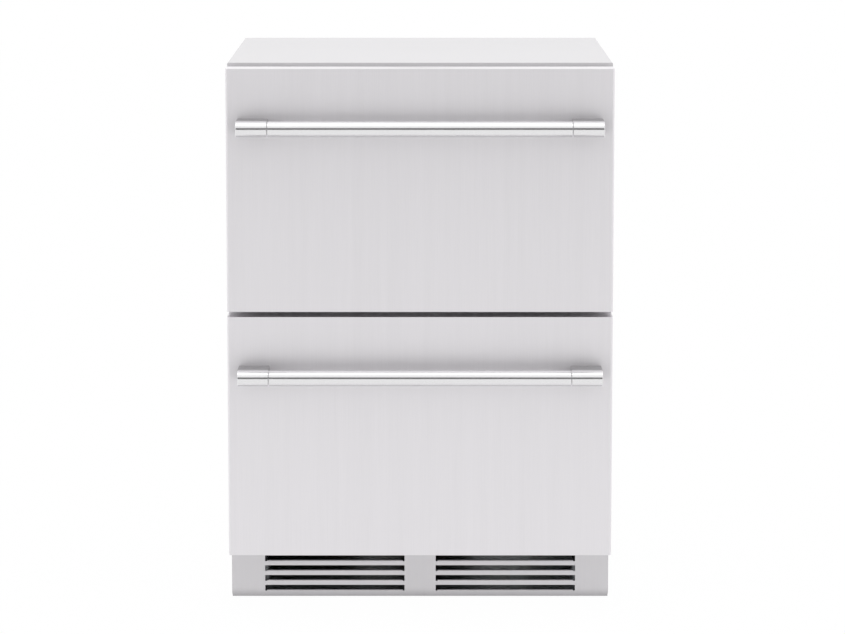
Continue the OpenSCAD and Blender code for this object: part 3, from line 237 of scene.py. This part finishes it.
def brushed_steel(name, colour, roughness, fine, wide, spread, foot_shade_top=0.0):
    """Steel sheet with upright scratches; fine and wide are lines to the metre."""
    steel = Finish(name, Metallic=0.9, Anisotropic=spread)
    scratches = steel.noise(fine, detail=3.0, roughness=0.7)
    columns = steel.noise(wide, detail=2.0)
    tone = (scratches * 0.7 + columns * 0.3).above(0.2, 0.8)
    # painted highlight: faces that lie level, under the top fold, get a lighter colour and
    # less roughness
    level = steel.up()
    low = 1.0 - steel.along("Z").above(FOLDS_UNDER, FOLDS_UNDER + 0.02)
    fold_highlight = level.math("ABSOLUTE", level).above(0.6, 0.8) * low
    # painted shade: the colour is darker towards the foot, for the floor's shadow that it
    # mirrors
    foot_shade = 1.0 - steel.along("Z").above(foot_shade_top - FOOT_SHADE_H, foot_shade_top)
    steel.feed(
        Base_Color=steel.blend(
            (tone * 0.12 + 0.84) * (1.0 - fold_highlight) + fold_highlight * 1.4 - foot_shade * 0.8,
            shade(colour, DARKEST),
            shade(colour, LIGHTEST),
        ),
        Roughness=scratches * 0.12 + columns * 0.05 + (roughness - 0.085) - fold_highlight * 0.2,
    )
    return steel.relief(scratches, SCRATCH_DEPTH, 0.3)


front_steel = brushed_steel(
    "front_steel", STEEL, 0.52, fine=(1900, 1900, 11), wide=(90, 90, 1.5), spread=0.5
)
# the kick plate's foot gets a painted shade
kick_steel = brushed_steel(
    "kick_steel", shade(STEEL, KICK_SHADE), 0.46,
    fine=(1900, 1900, 14), wide=(80, 80, 2), spread=0.6, foot_shade_top=FOOT_SHADE_TOP,
)
print("brushed steels:", front_steel.material.name, kick_steel.material.name)

# %% [markdown]
# ## Polished handles
# The tubes and end brackets are polished lengthwise, so the noise of the scratches is
# long in X and fine in Y and Z. The side towards the drawer and the underside get a
# painted shade: a darker colour, which the front also mirrors as the shade above each
# handle, and a little more roughness. Two maps tell these sides apart: the place along
# Y, counted from the tube's axis, and how much the surface faces down.

# %% Polished steel
POLISHED = (0.81, 0.805, 0.815)
SHADE_TINT = (1, 0.985, 1.01)  # the tint of the painted shade, which each steel darkens by its own factor


def polished_steel(name, lines, start, end, back):
    """Bright in front; painted shade on the rear, from start to full at end along Y."""
    steel = Finish(name, Metallic=0.9)
    scratches = steel.noise(lines, detail=3.0, roughness=0.7)
    # painted shade: the underside and the side towards the drawer get a darker colour, and
    # are a little rougher
    underside_shade = (steel.up() * -1.0).above(0.72, 0.98)
    rear = steel.along("Y").above(start, end)
    dull = rear.math("MAXIMUM", rear, underside_shade * 0.75)
    steel.feed(
        Base_Color=steel.blend(
            dull * 0.92 + scratches * 0.08, POLISHED, shade(SHADE_TINT, back)
        ),
        Roughness=scratches * 0.1 + dull * 0.1 + 0.1,
    )
    return steel.relief(scratches, SCRATCH_DEPTH, 0.3)


handle_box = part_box("upper_handle_tube")
axis_y = (handle_box[0][1] + handle_box[1][1]) / 2
# back: how dark the painted shade on the rear and the underside is
handle_steel = polished_steel(
    "handle_steel", (8, 1500, 1500), axis_y + 0.001, axis_y + 0.006, back=0.36
)
bracket_steel = polished_steel(
    "bracket_steel", (14, 1500, 1500), axis_y + 0.003, axis_y + 0.009, back=0.33
)
# the painted shade on the handles begins behind this y
print("polished steels turn dull behind y =", round(axis_y, 4), "m")

# %% [markdown]
# ## Painted, galvanised and enamelled sheet
# The case is painted sheet. Powder paint dries with a faint orange peel, which is a
# soft noise of about two millimetres in the relief. The sheets that nobody sees are
# galvanised: zinc freezes in flat crystals, so a cell texture gives each spangle its
# own grey. Black enamel on the compressor and condenser is glossy, with settled dust
# on what faces up.


# %% Sheet finishes
def painted_sheet(name, colour, roughness, peel=0.00005):
    paint = Finish(name, Metallic=0.0, Coat_Weight=0.15, Coat_Roughness=0.25)
    skin = paint.noise((480, 480, 480), detail=2.0)
    clouds = paint.noise((6, 6, 6), detail=3.0)
    paint.feed(
        Base_Color=paint.blend(clouds, shade(colour, 0.97), shade(colour, 1.02)),
        Roughness=skin * 0.08 + clouds * 0.06 + (roughness - 0.07),
    )
    return paint.relief(skin, peel, 0.5)


def galvanised_sheet(name, colour, roughness):
    zinc = Finish(name, Metallic=0.85)
    spangle = zinc.cells((90, 90, 90), out="Color")
    tone = zinc.node("ShaderNodeSeparateColor", {}, {0: spangle})
    streaks = zinc.noise((25, 25, 4), detail=4.0)
    zinc.feed(
        Base_Color=zinc.blend(
            tone * 0.6 + streaks * 0.4, shade(colour, 0.82), shade(colour, 1.12)
        ),
        Roughness=tone * 0.14 + streaks * 0.1 + (roughness - 0.1),
    )
    return zinc.relief(tone, 0.00003, 0.4)


def enamel(name, colour, dust_colour):
    black = Finish(name, Metallic=0.0, Coat_Weight=0.5, Coat_Roughness=0.12)
    specks = black.noise((900, 900, 900), detail=4.0, roughness=0.7)
    drift = black.noise((40, 40, 40), detail=3.0)
    dust = black.up().above(0.3, 1.0) * drift.above(0.35, 0.75) * specks.above(0.3, 0.7)
    black.feed(
        Base_Color=black.blend(dust * 0.5, colour, dust_colour),
        Roughness=dust * 0.45 + specks * 0.08 + 0.22,
    )
    return black.relief(specks, 0.00004, 0.4)


case_paint = painted_sheet("case_paint", (0.665, 0.655, 0.67), 0.42)
rack_paint = painted_sheet("rack_paint", (0.80, 0.80, 0.81), 0.35, peel=0.00003)
zinc_sheet = galvanised_sheet("zinc_sheet", (0.60, 0.62, 0.64), 0.42)
leg_metal = painted_sheet("leg_metal", (0.045, 0.045, 0.05), 0.45)
black_enamel = enamel("black_enamel", (0.012, 0.012, 0.013), (0.22, 0.20, 0.17))
print("sheet finishes:", case_paint.material.name, zinc_sheet.material.name)

# %% [markdown]
# ## Plastics and rubber
# The liners are thermoformed from white sheet: almost smooth, with a slow waviness
# from the mould and light that sinks a little under the surface. Moulded parts have
# a fine spark-eroded texture, which is short noise in the relief. The gasket is soft
# vinyl with a dull bloom. The bins are milky plastic, in which light sinks further.


# %% Plastic and rubber finishes
def moulded_plastic(name, colour, roughness, grit=1400, depth=0.00006, sink=0.0):
    plastic = Finish(
        name,
        Metallic=0.0,
        IOR=1.49,
        Subsurface_Weight=sink,
        Subsurface_Scale=0.004,
    )
    spark = plastic.noise((grit, grit, grit), detail=3.0, roughness=0.6)
    flow = plastic.noise((9, 9, 5), detail=3.0)
    plastic.feed(
        Base_Color=plastic.blend(
            flow.above(0.3, 0.7), shade(colour, 0.96), shade(colour, 1.02)
        ),
        Roughness=spark * 0.12 + flow * 0.08 + (roughness - 0.1),
    )
    return plastic.relief(spark, depth, 0.5)


def soft_rubber(name, colour, roughness):
    rubber = Finish(name, Metallic=0.0, Sheen_Weight=0.25, Sheen_Roughness=0.5)
    bloom = rubber.noise((60, 60, 60), detail=4.0, roughness=0.6)
    pores = rubber.cells((1600, 1600, 1600))
    rubber.feed(
        Base_Color=rubber.blend(
            bloom.above(0.35, 0.75), colour, tuple(c + 0.05 for c in colour)
        ),
        Roughness=bloom * 0.15 + (roughness - 0.07),
    )
    return rubber.relief(pores, 0.00005, 0.4)


liner_white = moulded_plastic(
    "liner_white", (0.84, 0.845, 0.85), 0.28, grit=700, depth=0.00003, sink=0.05
)
frame_grey = moulded_plastic("frame_grey", (0.70, 0.695, 0.70), 0.45)
dark_plastic = moulded_plastic("dark_plastic", (0.03, 0.031, 0.034), 0.42)
bin_plastic = moulded_plastic(
    "bin_plastic", (0.80, 0.81, 0.82), 0.22, grit=500, depth=0.00002, sink=0.12
)
white_plastic = moulded_plastic("white_plastic", (0.78, 0.78, 0.77), 0.4, sink=0.04)
cage_plastic = moulded_plastic("cage_plastic", (0.62, 0.60, 0.54), 0.4)
gasket_rubber = soft_rubber("gasket_rubber", (0.66, 0.66, 0.66), 0.6)
mount_rubber = soft_rubber("mount_rubber", (0.02, 0.02, 0.02), 0.7)
print("plastics:", liner_white.material.name, bin_plastic.material.name)
print("rubbers:", gasket_rubber.material.name, mount_rubber.material.name)

# %% [markdown]
# ## Metal of the cooling circuit, slides and screws
# Copper tube darkens in patches where it was brazed and handled. Aluminium fins are
# bright with faint rolling lines. The slides are cold-rolled steel, passivated, with
# long rolling marks along their travel and a film of grease that lowers the roughness
# in patches.


# %% Bare metals
def worn_metal(name, bright, dull, roughness, lines, patch=30.0):
    metal = Finish(name, Metallic=1.0)
    rolling = metal.noise(lines, detail=3.0, roughness=0.6)
    patches = metal.noise((patch, patch, patch), detail=4.0, roughness=0.6)
    age = patches.above(0.35, 0.75)
    metal.feed(
        Base_Color=metal.blend(age * 0.7 + rolling * 0.3, bright, dull),
        Roughness=age * 0.12 + rolling * 0.12 + (roughness - 0.08),
    )
    return metal.relief(rolling, 0.00003, 0.4)


copper = worn_metal(
    "copper", (0.86, 0.46, 0.32), (0.52, 0.25, 0.16), 0.28, (90, 90, 90)
)
fin_aluminium = worn_metal(
    "fin_aluminium", (0.83, 0.84, 0.85), (0.68, 0.69, 0.71), 0.32, (700, 60, 60)
)
slide_steel = worn_metal(
    "slide_steel", (0.72, 0.73, 0.74), (0.56, 0.57, 0.59), 0.30, (900, 7, 900),
    patch=18.0,
)
screw_steel = worn_metal(
    "screw_steel", (0.70, 0.70, 0.71), (0.50, 0.50, 0.52), 0.26, (500, 500, 500),
    patch=120.0,
)
print("bare metals:", copper.material.name, slide_steel.material.name)

# %% [markdown]
# ## Foam and the light lens
# Polyurethane foam rises in its mould: straw-yellow, matt, with closed cells. It shows
# only if a skin is taken off, and still gets its cells. The light strips have a ribbed
# frosted lens that glows a little.

# %% Foam and lens
foam = Finish("foam", Metallic=0.0, Subsurface_Weight=0.1, Subsurface_Scale=0.003)
foam_cells = foam.cells((700, 700, 700))
foam_rise = foam.noise((12, 12, 5), detail=4.0)
foam.feed(
    Base_Color=foam.blend(foam_rise, (0.62, 0.52, 0.28), (0.80, 0.71, 0.45)),
    Roughness=foam_cells * 0.2 + 0.75,
)
foam.relief(foam_cells, 0.0004, 0.8)

LENS_GLOW = 0.25
lens = Finish("lens", Metallic=0.0, Emission_Strength=LENS_GLOW)
lens_ribs = lens.node(
    "ShaderNodeTexWave",
    {"bands_direction": "X", "wave_profile": "SIN"},
    {"Vector": lens.stretched((1, 1, 1)), "Scale": 60.0},
)
lens_haze = lens.noise((300, 300, 300), detail=2.0)
lens.feed(
    Base_Color=lens.blend(lens_haze, (0.88, 0.89, 0.90), (0.93, 0.94, 0.95)),
    Roughness=lens_ribs * 0.1 + lens_haze * 0.1 + 0.25,
    Emission_Color=lens.blend(lens_haze, (0.95, 0.97, 1.0), (1.0, 1.0, 1.0)),
)
lens.relief(lens_ribs, 0.0003, 0.6)
print("foam cells and lens ribs are made")

# %% [markdown]
# ## Each solid gets the finish of its slot
# The imported record says which material slot each node has. One table from slot to
# finish dresses all the solids, and the kick plate gets a variant of its own.

# %% Dress the solids
finish_of_slot = {
    "wrapper_steel": case_paint,
    "zinc_sheet": zinc_sheet,
    "foam": foam,
    "liner_white": liner_white,
    "frame_grey": frame_grey,
    "brushed_front": front_steel,
    "dark_plastic": dark_plastic,
    "lens": lens,
    "fin_aluminium": fin_aluminium,
    "white_plastic": white_plastic,
    "black_enamel": black_enamel,
    "black_rubber": mount_rubber,
    "copper": copper,
    "screw_steel": screw_steel,
    "slide_zinc": slide_steel,
    "leg_metal": leg_metal,
    "gasket_grey": gasket_rubber,
    "polished_handle": handle_steel,
    "frame_white": rack_paint,
    "bin_white": bin_plastic,
    "cage_plastic": cage_plastic,
}
finish_of_node = {"kick_plate": kick_steel}
slot_of_node = {s["node"]: s["material_slot"] for s in frame["record"]["subparts"]}

for name, node in nodes.items():
    finish = finish_of_node.get(name, finish_of_slot[slot_of_node[name]])
    node.data.materials.clear()
    node.data.materials.append(finish.material)
print("dressed", len(nodes), "solids in", len(set(finish_of_slot.values())), "finishes")

# %% [markdown]
# ## Making pieces
# A new piece is a list of points and faces in metres. It rides on a body of the frame,
# takes a material slot, and stands for the solid that it replaces. Edges sharper than
# 35 degrees stay sharp and the rest shade smoothly, as a rolled or turned part does.

# %% Piece helpers
SHARP = math.radians(35)
DRAWERS = ("upper", "lower")


def make_piece(name, points, faces, finish, body, instead_of=()):
    mesh = bpy.data.meshes.new(name)
    mesh.from_pydata([Vector(p) for p in points], [], faces)
    work = bmesh.new()
    work.from_mesh(mesh)
    bmesh.ops.recalc_face_normals(work, faces=work.faces)
    work.to_mesh(mesh)
    work.free()
    mesh.shade_smooth()
    mesh.set_sharp_from_angle(angle=SHARP)
    mesh.materials.append(finish.material)
    piece = bpy.data.objects.new(name, mesh)
    bpy.context.scene.collection.objects.link(piece)
    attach(piece, body)
    if instead_of:
        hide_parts(*instead_of)
    return piece


def loft(rings, closed_ends=True, closed_loop=False):
    """Faces that join equal rings of points in turn, with flat caps at both ends."""
    n = len(rings[0])
    points = [p for ring in rings for p in ring]
    pairs = [(k, k + 1) for k in range(len(rings) - 1)]
    if closed_loop:
        pairs.append((len(rings) - 1, 0))
    faces = [
        (a * n + i, a * n + (i + 1) % n, b * n + (i + 1) % n, b * n + i)
        for a, b in pairs
        for i in range(n)
    ]
    if closed_ends and not closed_loop:
        faces.append(tuple(reversed(range(n))))
        faces.append(tuple((len(rings) - 1) * n + i for i in range(n)))
    return points, faces


def circle_yz(x, y, z, radius, count=64):
    """Points round the X axis."""
    turn = [2 * math.pi * i / count for i in range(count)]
    return [(x, y + radius * math.cos(t), z + radius * math.sin(t)) for t in turn]


print("helpers: make_piece, loft, circle_yz")

# %% [markdown]
# ## Handles
# Each handle is a turned tube that butts against a solid end piece at both sides. The
# tube's ends are broken by a small chamfer, which is why the photograph shows a thin
# dark seam with a bright line on each side. The tube is a ring of circles, lofted
# along X out to its chamfers and back through the bore. The end piece has one section
# all along, round in front and square behind, drawn in at both ends by a chamfer.

# %% Handle tubes and end pieces
HANDLE_R = 0.012
TUBE_WALL = 0.002
SEAM = 0.0007
END_CHAMFER = 0.001


def handle_tube(drawer):
    lo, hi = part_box(drawer + "_handle_tube")
    y, z = (lo[1] + hi[1]) / 2, (lo[2] + hi[2]) / 2
    bore = HANDLE_R - TUBE_WALL
    outline = [
        (lo[0] + SEAM / 2, bore), (lo[0] + SEAM / 2, HANDLE_R - SEAM),
        (lo[0] + 1.5 * SEAM, HANDLE_R), (hi[0] - 1.5 * SEAM, HANDLE_R),
        (hi[0] - SEAM / 2, HANDLE_R - SEAM), (hi[0] - SEAM / 2, bore),
    ]
    rings = [circle_yz(x, y, z, r) for x, r in outline]
    points, faces = loft(rings, closed_loop=True)
    return make_piece(
        drawer + "_handle_bar", points, faces, handle_steel, drawer + "_drawer",
        [drawer + "_handle_tube"],
    )


def end_section(x, y, z, back, inset):
    """Round in front, square behind, as seen along X."""
    r = HANDLE_R - inset
    arc = [math.pi / 2 + math.pi * i / 32 for i in range(33)]
    front = [(x, y + r * math.cos(t), z + r * math.sin(t)) for t in arc]
    return front + [(x, back, z - r), (x, back, z + r)]


def handle_end(drawer, side):
    lo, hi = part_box(drawer + "_handle_ends")
    y, z = lo[1] + HANDLE_R, (lo[2] + hi[2]) / 2
    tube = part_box(drawer + "_handle_tube")[1][0]
    stations = [
        (tube + SEAM / 2, SEAM), (tube + 1.5 * SEAM, 0),
        (hi[0] - END_CHAMFER, 0), (hi[0], END_CHAMFER),
    ]
    rings = [end_section(side * x, y, z, hi[1], inset) for x, inset in stations]
    if side < 0:
        rings.reverse()
    points, faces = loft(rings)
    name = f"{drawer}_handle_end_{'right' if side > 0 else 'left'}"
    replaced = [drawer + "_handle_ends"] if side > 0 else ()
    return make_piece(
        name, points, faces, bracket_steel, drawer + "_drawer",
        replaced,
    )


for drawer in DRAWERS:
    handle_tube(drawer)
    for side in (-1, 1):
        handle_end(drawer, side)
print("handles: tube radius", HANDLE_R, "m, seam", SEAM, "m")

# %% [markdown]
# ## Door gaskets
# The gasket is an extruded vinyl profile with a dart at its foot, two bellows and a
# magnet chamber that meets the cabinet. Its section is drawn once, as how far each
# corner stands in from the gasket's edge and how far it stands off the front. Every
# corner of the section becomes a rectangle round the front, and the rectangles are
# lofted in turn, which mitres the four corners as a welded gasket is mitred.

# %% Gaskets
GASKET_W = 0.012
# half of the section, in millimetres: in from the gasket's edge, off the front
BELLOWS = [
    (0.0, 0.0), (0.0, 1.3), (1.5, 1.9), (2.1, 2.6), (1.1, 3.4), (0.9, 4.0), (1.4, 4.6),
    (2.3, 5.1), (2.0, 5.7), (0.6, 6.2), (0.2, 6.8), (0.5, 7.4), (1.2, 7.7),
]


def gasket(drawer):
    lo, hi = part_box(drawer + "_gasket")
    half = [(u / 1000, v / 1000) for u, v in BELLOWS]
    section = half + [(GASKET_W - u, v) for u, v in reversed(half)]
    rings = []
    for u, v in section:
        x, y, foot, head = hi[0] - u, lo[1] + v, lo[2] + u, hi[2] - u
        rings.append([(-x, y, foot), (x, y, foot), (x, y, head), (-x, y, head)])
    points, faces = loft(rings, closed_loop=True)
    return make_piece(
        drawer + "_gasket_profile", points, faces, gasket_rubber, drawer + "_drawer",
        [drawer + "_gasket"],
    )


for drawer in DRAWERS:
    gasket(drawer)
print("gaskets:", len(BELLOWS) * 2, "corners in the section")

# %% [markdown]
# ## Moulded bins
# A bin is a drafted tub with rounded corners, a coved floor and a rim. It is lofted
# from rings that run round the tub: up the outside, over the rim and down the inside,
# and the two floors close it. The lower bin steps up over the hump of the machine
# compartment, so the floor is a line in Y and Z, and each ring stands above the floor
# that is under it. The wall leans in by how far a point is under the rim.

# %% Bins
WALL, DRAFT, COVE, CORNER = 0.003, 0.008, 0.014, 0.026
RIM_SIDE, RIM_END, RIM_T, RIM_EDGE = 0.011, 0.003, 0.003, 0.0009
LEAST_CORNER = 0.003
STEP_R, STEP_R_INSIDE = 0.010, 0.012
STEP_LEAN = 0.006  # how far the step's foot stands in front of its nose
LOWER_STEP = (0.0995, 0.307)  # Y and Z of the step over the machine compartment


def quarter(count):
    """The angles of a quarter turn in that many steps."""
    return [math.pi / 2 * i / count for i in range(count + 1)]


def floor_line(flat, step_y=None, step_z=None, inside=0.0):
    """The floor as points of Y and Z; the step's two corners are rounded."""
    if step_y is None:
        return [(0.0, flat + inside)]
    low, high, y = flat + inside, step_z + inside, step_y - inside
    r = STEP_R_INSIDE if inside else STEP_R
    foot_y = y - STEP_LEAN - r
    turn = quarter(5)
    foot = [(foot_y + r * math.sin(t), low + r - r * math.cos(t)) for t in turn]
    nose = [(y + r - r * math.cos(t), high - r + r * math.sin(t)) for t in turn]
    return foot + nose


def height_at(line, y):
    """The floor line's height at a place along Y."""
    if y <= line[0][0]:
        return line[0][1]
    for (y0, z0), (y1, z1) in zip(line, line[1:]):
        if y <= y1:
            return z0 + (z1 - z0) * (y - y0) / max(y1 - y0, 1e-9)
    return line[-1][1]


def tub_ring(tub, line, sides, rise, out, radius):
    """One ring: rise gives Z above the floor, out how far it stands off the wall."""
    left = []
    front = [(-1, t) for t in quarter(8)]
    rear = [(1, t) for t in quarter(8)]
    for end, value in front + [(0, y) for y in sides] + rear:
        y = value if end == 0 else (tub["y0"] if end < 0 else tub["y1"])
        z = rise(height_at(line, y))
        lean = DRAFT * max(0.0, tub["top"] - z) / (tub["top"] - tub["flat"])
        across, along = out[0] - lean, out[1] - lean
        x = tub["half"] + across
        if end == 0:
            left.append((-x, y, z))
        elif end < 0:
            left.append((
                -(x - radius) - radius * math.sin(value),
                tub["y0"] - along + radius - radius * math.cos(value), z,
            ))
        else:
            left.append((
                -(x - radius) - radius * math.cos(value),
                tub["y1"] + along - radius + radius * math.sin(value), z,
            ))
    return left + [(-x, y, z) for x, y, z in reversed(left)]


def moulded_bin(drawer, step=()):
    lo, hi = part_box(drawer + "_bin")
    tub = {
        "half": hi[0] - RIM_SIDE, "y0": lo[1] + RIM_END, "y1": hi[1] - RIM_END,
        "top": hi[2] - RIM_T, "flat": lo[2],
    }
    outside = floor_line(tub["flat"], *step)
    inside = floor_line(tub["flat"], *step, inside=WALL)
    out_sides, in_sides = [y for y, z in outside], [y for y, z in inside]
    top, edge = tub["top"], RIM_EDGE

    def coved(line, sides, inset, r, corner):
        """Rings up one side of the wall: round the cove, then in steps to the top."""
        rings = []
        for t in quarter(5):
            out = -inset - r + r * math.sin(t)
            rings.append(tub_ring(
                tub, line, sides, lambda f, t=t: f + r - r * math.cos(t),
                (out, out), max(LEAST_CORNER, corner - r + r * math.sin(t)),
            ))
        for k in (0.25, 0.5, 0.75, 1.0):
            rings.append(tub_ring(
                tub, line, sides, lambda f, k=k: f + r + (top - f - r) * k,
                (-inset, -inset), corner,
            ))
        return rings

    def level(z):
        """The same height all round, whatever the floor does."""
        return lambda floor: z

    rings = coved(outside, out_sides, 0.0, COVE, CORNER)
    for z, side, end, r in (
        (top, RIM_SIDE - edge, RIM_END - edge, CORNER + 0.002),
        (top + edge, RIM_SIDE, RIM_END, CORNER + 0.003),
        (top + RIM_T - edge, RIM_SIDE, RIM_END, CORNER + 0.003),
        (top + RIM_T, RIM_SIDE - edge, RIM_END - edge, CORNER + 0.002),
        (top + RIM_T, -WALL + 0.0015, -WALL + 0.0015, CORNER - 0.002),
        (top + RIM_T - 0.0005, -WALL + 0.0005, -WALL + 0.0005, CORNER - 0.0025),
        (top + RIM_T - 0.0015, -WALL, -WALL, CORNER - WALL),
    ):
        rings.append(tub_ring(tub, outside, out_sides, level(z), (side, end), r))
    rings += reversed(coved(inside, in_sides, WALL, COVE - WALL, CORNER - WALL))
    points, faces = loft(rings, closed_ends=False)
    n = len(rings[0])
    for start in (0, (len(rings) - 1) * n):
        faces += [
            (start + i, start + i + 1, start + n - 2 - i, start + n - 1 - i)
            for i in range(n // 2 - 1)
        ]
    return make_piece(
        drawer + "_bin_moulding", points, faces, bin_plastic, drawer + "_drawer",
        [drawer + "_bin"],
    )


moulded_bin("upper")
moulded_bin("lower", step=LOWER_STEP)
print("bins: wall", WALL, "m, draft", DRAFT, "m")

# %% [markdown]
# ## Studio
# The photograph is a packshot on white: no shadow line, no horizon. The floor is plain
# and pale. A Light Path node lets it shine for the rays that come from the camera or
# from a reflection, so it looks white there, and a little of the object's shadow still
# shows. It isn't sampled as a lamp: a lamp's rays are of neither kind, so part of the
# white would be missing from every reflection. The world is white for the camera too.
# For the object it is a pale dome with one dark patch, narrow and low in front, where
# the room behind the camera would be. The patch is the dark line along the middle of
# each handle, and the reason why the upper front, which mirrors more of it, is a
# little darker than the lower one.

# %% Floor and world
FLOOR_HALF = 12.0
FLOOR_SEEN, FLOOR_MIRRORED = 0.985, 0.6  # shares of plain white


def studio_floor():
    half = FLOOR_HALF
    mesh = bpy.data.meshes.new("floor")
    mesh.from_pydata(
        [(-half, -half, 0), (half, -half, 0), (half, half, 0), (-half, half, 0)],
        [], [(0, 1, 2, 3)],
    )
    floor = bpy.data.objects.new("floor", mesh)
    bpy.context.scene.collection.objects.link(floor)
    pale = Finish("pale_floor", Metallic=0.0, Roughness=0.9)
    pale.feed(Base_Color=pale.blend(pale.noise((2, 2, 2)), (0.90,) * 3, (0.92,) * 3))
    seen = pale.node("ShaderNodeLightPath", out="Is Camera Ray")
    mirrored = pale.node("ShaderNodeLightPath", out="Is Glossy Ray")
    through = pale.node("ShaderNodeLightPath", out="Is Transmission Ray")
    white = pale.node(
        "ShaderNodeEmission", {}, {"Color": (1, 1, 1, 1), "Strength": 1.0},
        out="Emission",
    )
    share = seen.math(
        "MAXIMUM", seen * FLOOR_SEEN, (mirrored + through) * FLOOR_MIRRORED
    )
    mix = pale.node(
        "ShaderNodeMixShader", {},
        {0: share, 1: Map(pale, pale.shader.outputs["BSDF"]), 2: white},
    )
    out = pale.tree.nodes["Material Output"]
    pale.tree.links.new(mix.socket, out.inputs["Surface"])
    pale.material.cycles.emission_sampling = "NONE"
    mesh.materials.append(pale.material)


class Sky:
    """The world's own node tree, with the direction of a ray as its place."""

    def __init__(self):
        self.world = bpy.data.worlds.new("studio")
        self.world.use_nodes = True
        self.tree = self.world.node_tree
        self.tree.nodes.clear()
        self.place = self.node("ShaderNodeTexCoord", out="Generated")

    node = Finish.node


def studio_world(dome, room, zenith, backdrop):
    """A pale dome, dark where the room behind the camera is, white for the camera.

    The four values are the strength of the light from each part of the dome. A place
    on it is a direction, so Z is the sine of the height above the horizon.
    """
    sky = Sky()
    toward = sky.node("ShaderNodeSeparateXYZ", {}, {0: sky.place}, out="Y")
    up = sky.node("ShaderNodeSeparateXYZ", {}, {0: sky.place}, out="Z")
    over = up.above(0.30, 0.56)
    ahead = (toward * -1.0).above(0.82, 0.98) * (1.0 - over)
    behind = toward.above(0.1, 0.6) * up.above(-0.1, 0.1)
    strength = ahead * (room - dome) + over * (zenith - dome)
    strength = strength + behind * (backdrop - dome) + dome
    white = (1, 1, 1, 1)
    light = sky.node("ShaderNodeBackground", {}, {"Color": white, "Strength": strength})
    plain = sky.node("ShaderNodeBackground", {}, {"Color": white, "Strength": 1.0})
    seen = sky.node("ShaderNodeLightPath", out="Is Camera Ray")
    mix = sky.node("ShaderNodeMixShader", {}, {0: seen, 1: light, 2: plain})
    out = sky.tree.nodes.new("ShaderNodeOutputWorld")
    sky.tree.links.new(mix.socket, out.inputs["Surface"])
    bpy.context.scene.world = sky.world


studio_floor()
studio_world(dome=1.0, room=0.1, zenith=1.05, backdrop=1.02)
print("floor and world are white for the camera")

# %% [markdown]
# ## Lamp
# One broad soft box overhead, hidden from the camera, adds a little light on the top
# and on the upper side of the handles. All the rest comes from the world, which is
# what brushed steel needs: it shows its surroundings more than its lamps. The Standard
# view keeps white at white, as on a packshot.


# %% Soft box
def soft_box(name, place, aim, width, depth, power):
    light = bpy.data.lights.new(name, "AREA")
    light.shape = "RECTANGLE"
    light.size, light.size_y = width, depth
    light.energy = power
    lamp = bpy.data.objects.new(name, light)
    lamp.location = place
    way = Vector(aim) - Vector(place)
    lamp.rotation_euler = way.to_track_quat("-Z", "Y").to_euler()
    lamp.visible_camera = False
    bpy.context.scene.collection.objects.link(lamp)
    return lamp


overhead = soft_box(
    "overhead", place=(0, -0.9, 2.9), aim=(0, 0, 0.5), width=2.6, depth=1.6, power=9
)
view_settings = bpy.context.scene.view_settings
view_settings.view_transform = "Standard"
print(overhead.name, "soft box; view transform", view_settings.view_transform)

# %% [markdown]
# ## Camera
# The photograph was taken from a little above the top, straight on. Distance, height
# and tilt come from a fit of the object's corners to the picture. The picture's own
# upright lines are parallel, which a large lens shift would give, but that would push
# the object out of every other view, so the camera stands further off instead and
# looks slightly down.

# %% Camera
CAMERA_AT = (0.0038, -5.5, 1.2756)
CAMERA_TILT = math.radians(8.129)
FOCAL_PX = 3431.5
PHOTO_W = 845
SHIFT_Y = -0.04

lens_data = bpy.data.cameras.new("camera")
lens_data.sensor_fit = "HORIZONTAL"
lens_data.sensor_width = 36.0
lens_data.lens = FOCAL_PX / PHOTO_W * lens_data.sensor_width
lens_data.shift_y = SHIFT_Y
lens_data.clip_end = 60
camera = bpy.data.objects.new("camera", lens_data)
camera.location = CAMERA_AT
camera.rotation_euler = (math.pi / 2 - CAMERA_TILT, 0, 0)
bpy.context.scene.collection.objects.link(camera)
bpy.context.scene.camera = camera
print("camera", CAMERA_AT, "lens", round(lens_data.lens, 1), "mm")
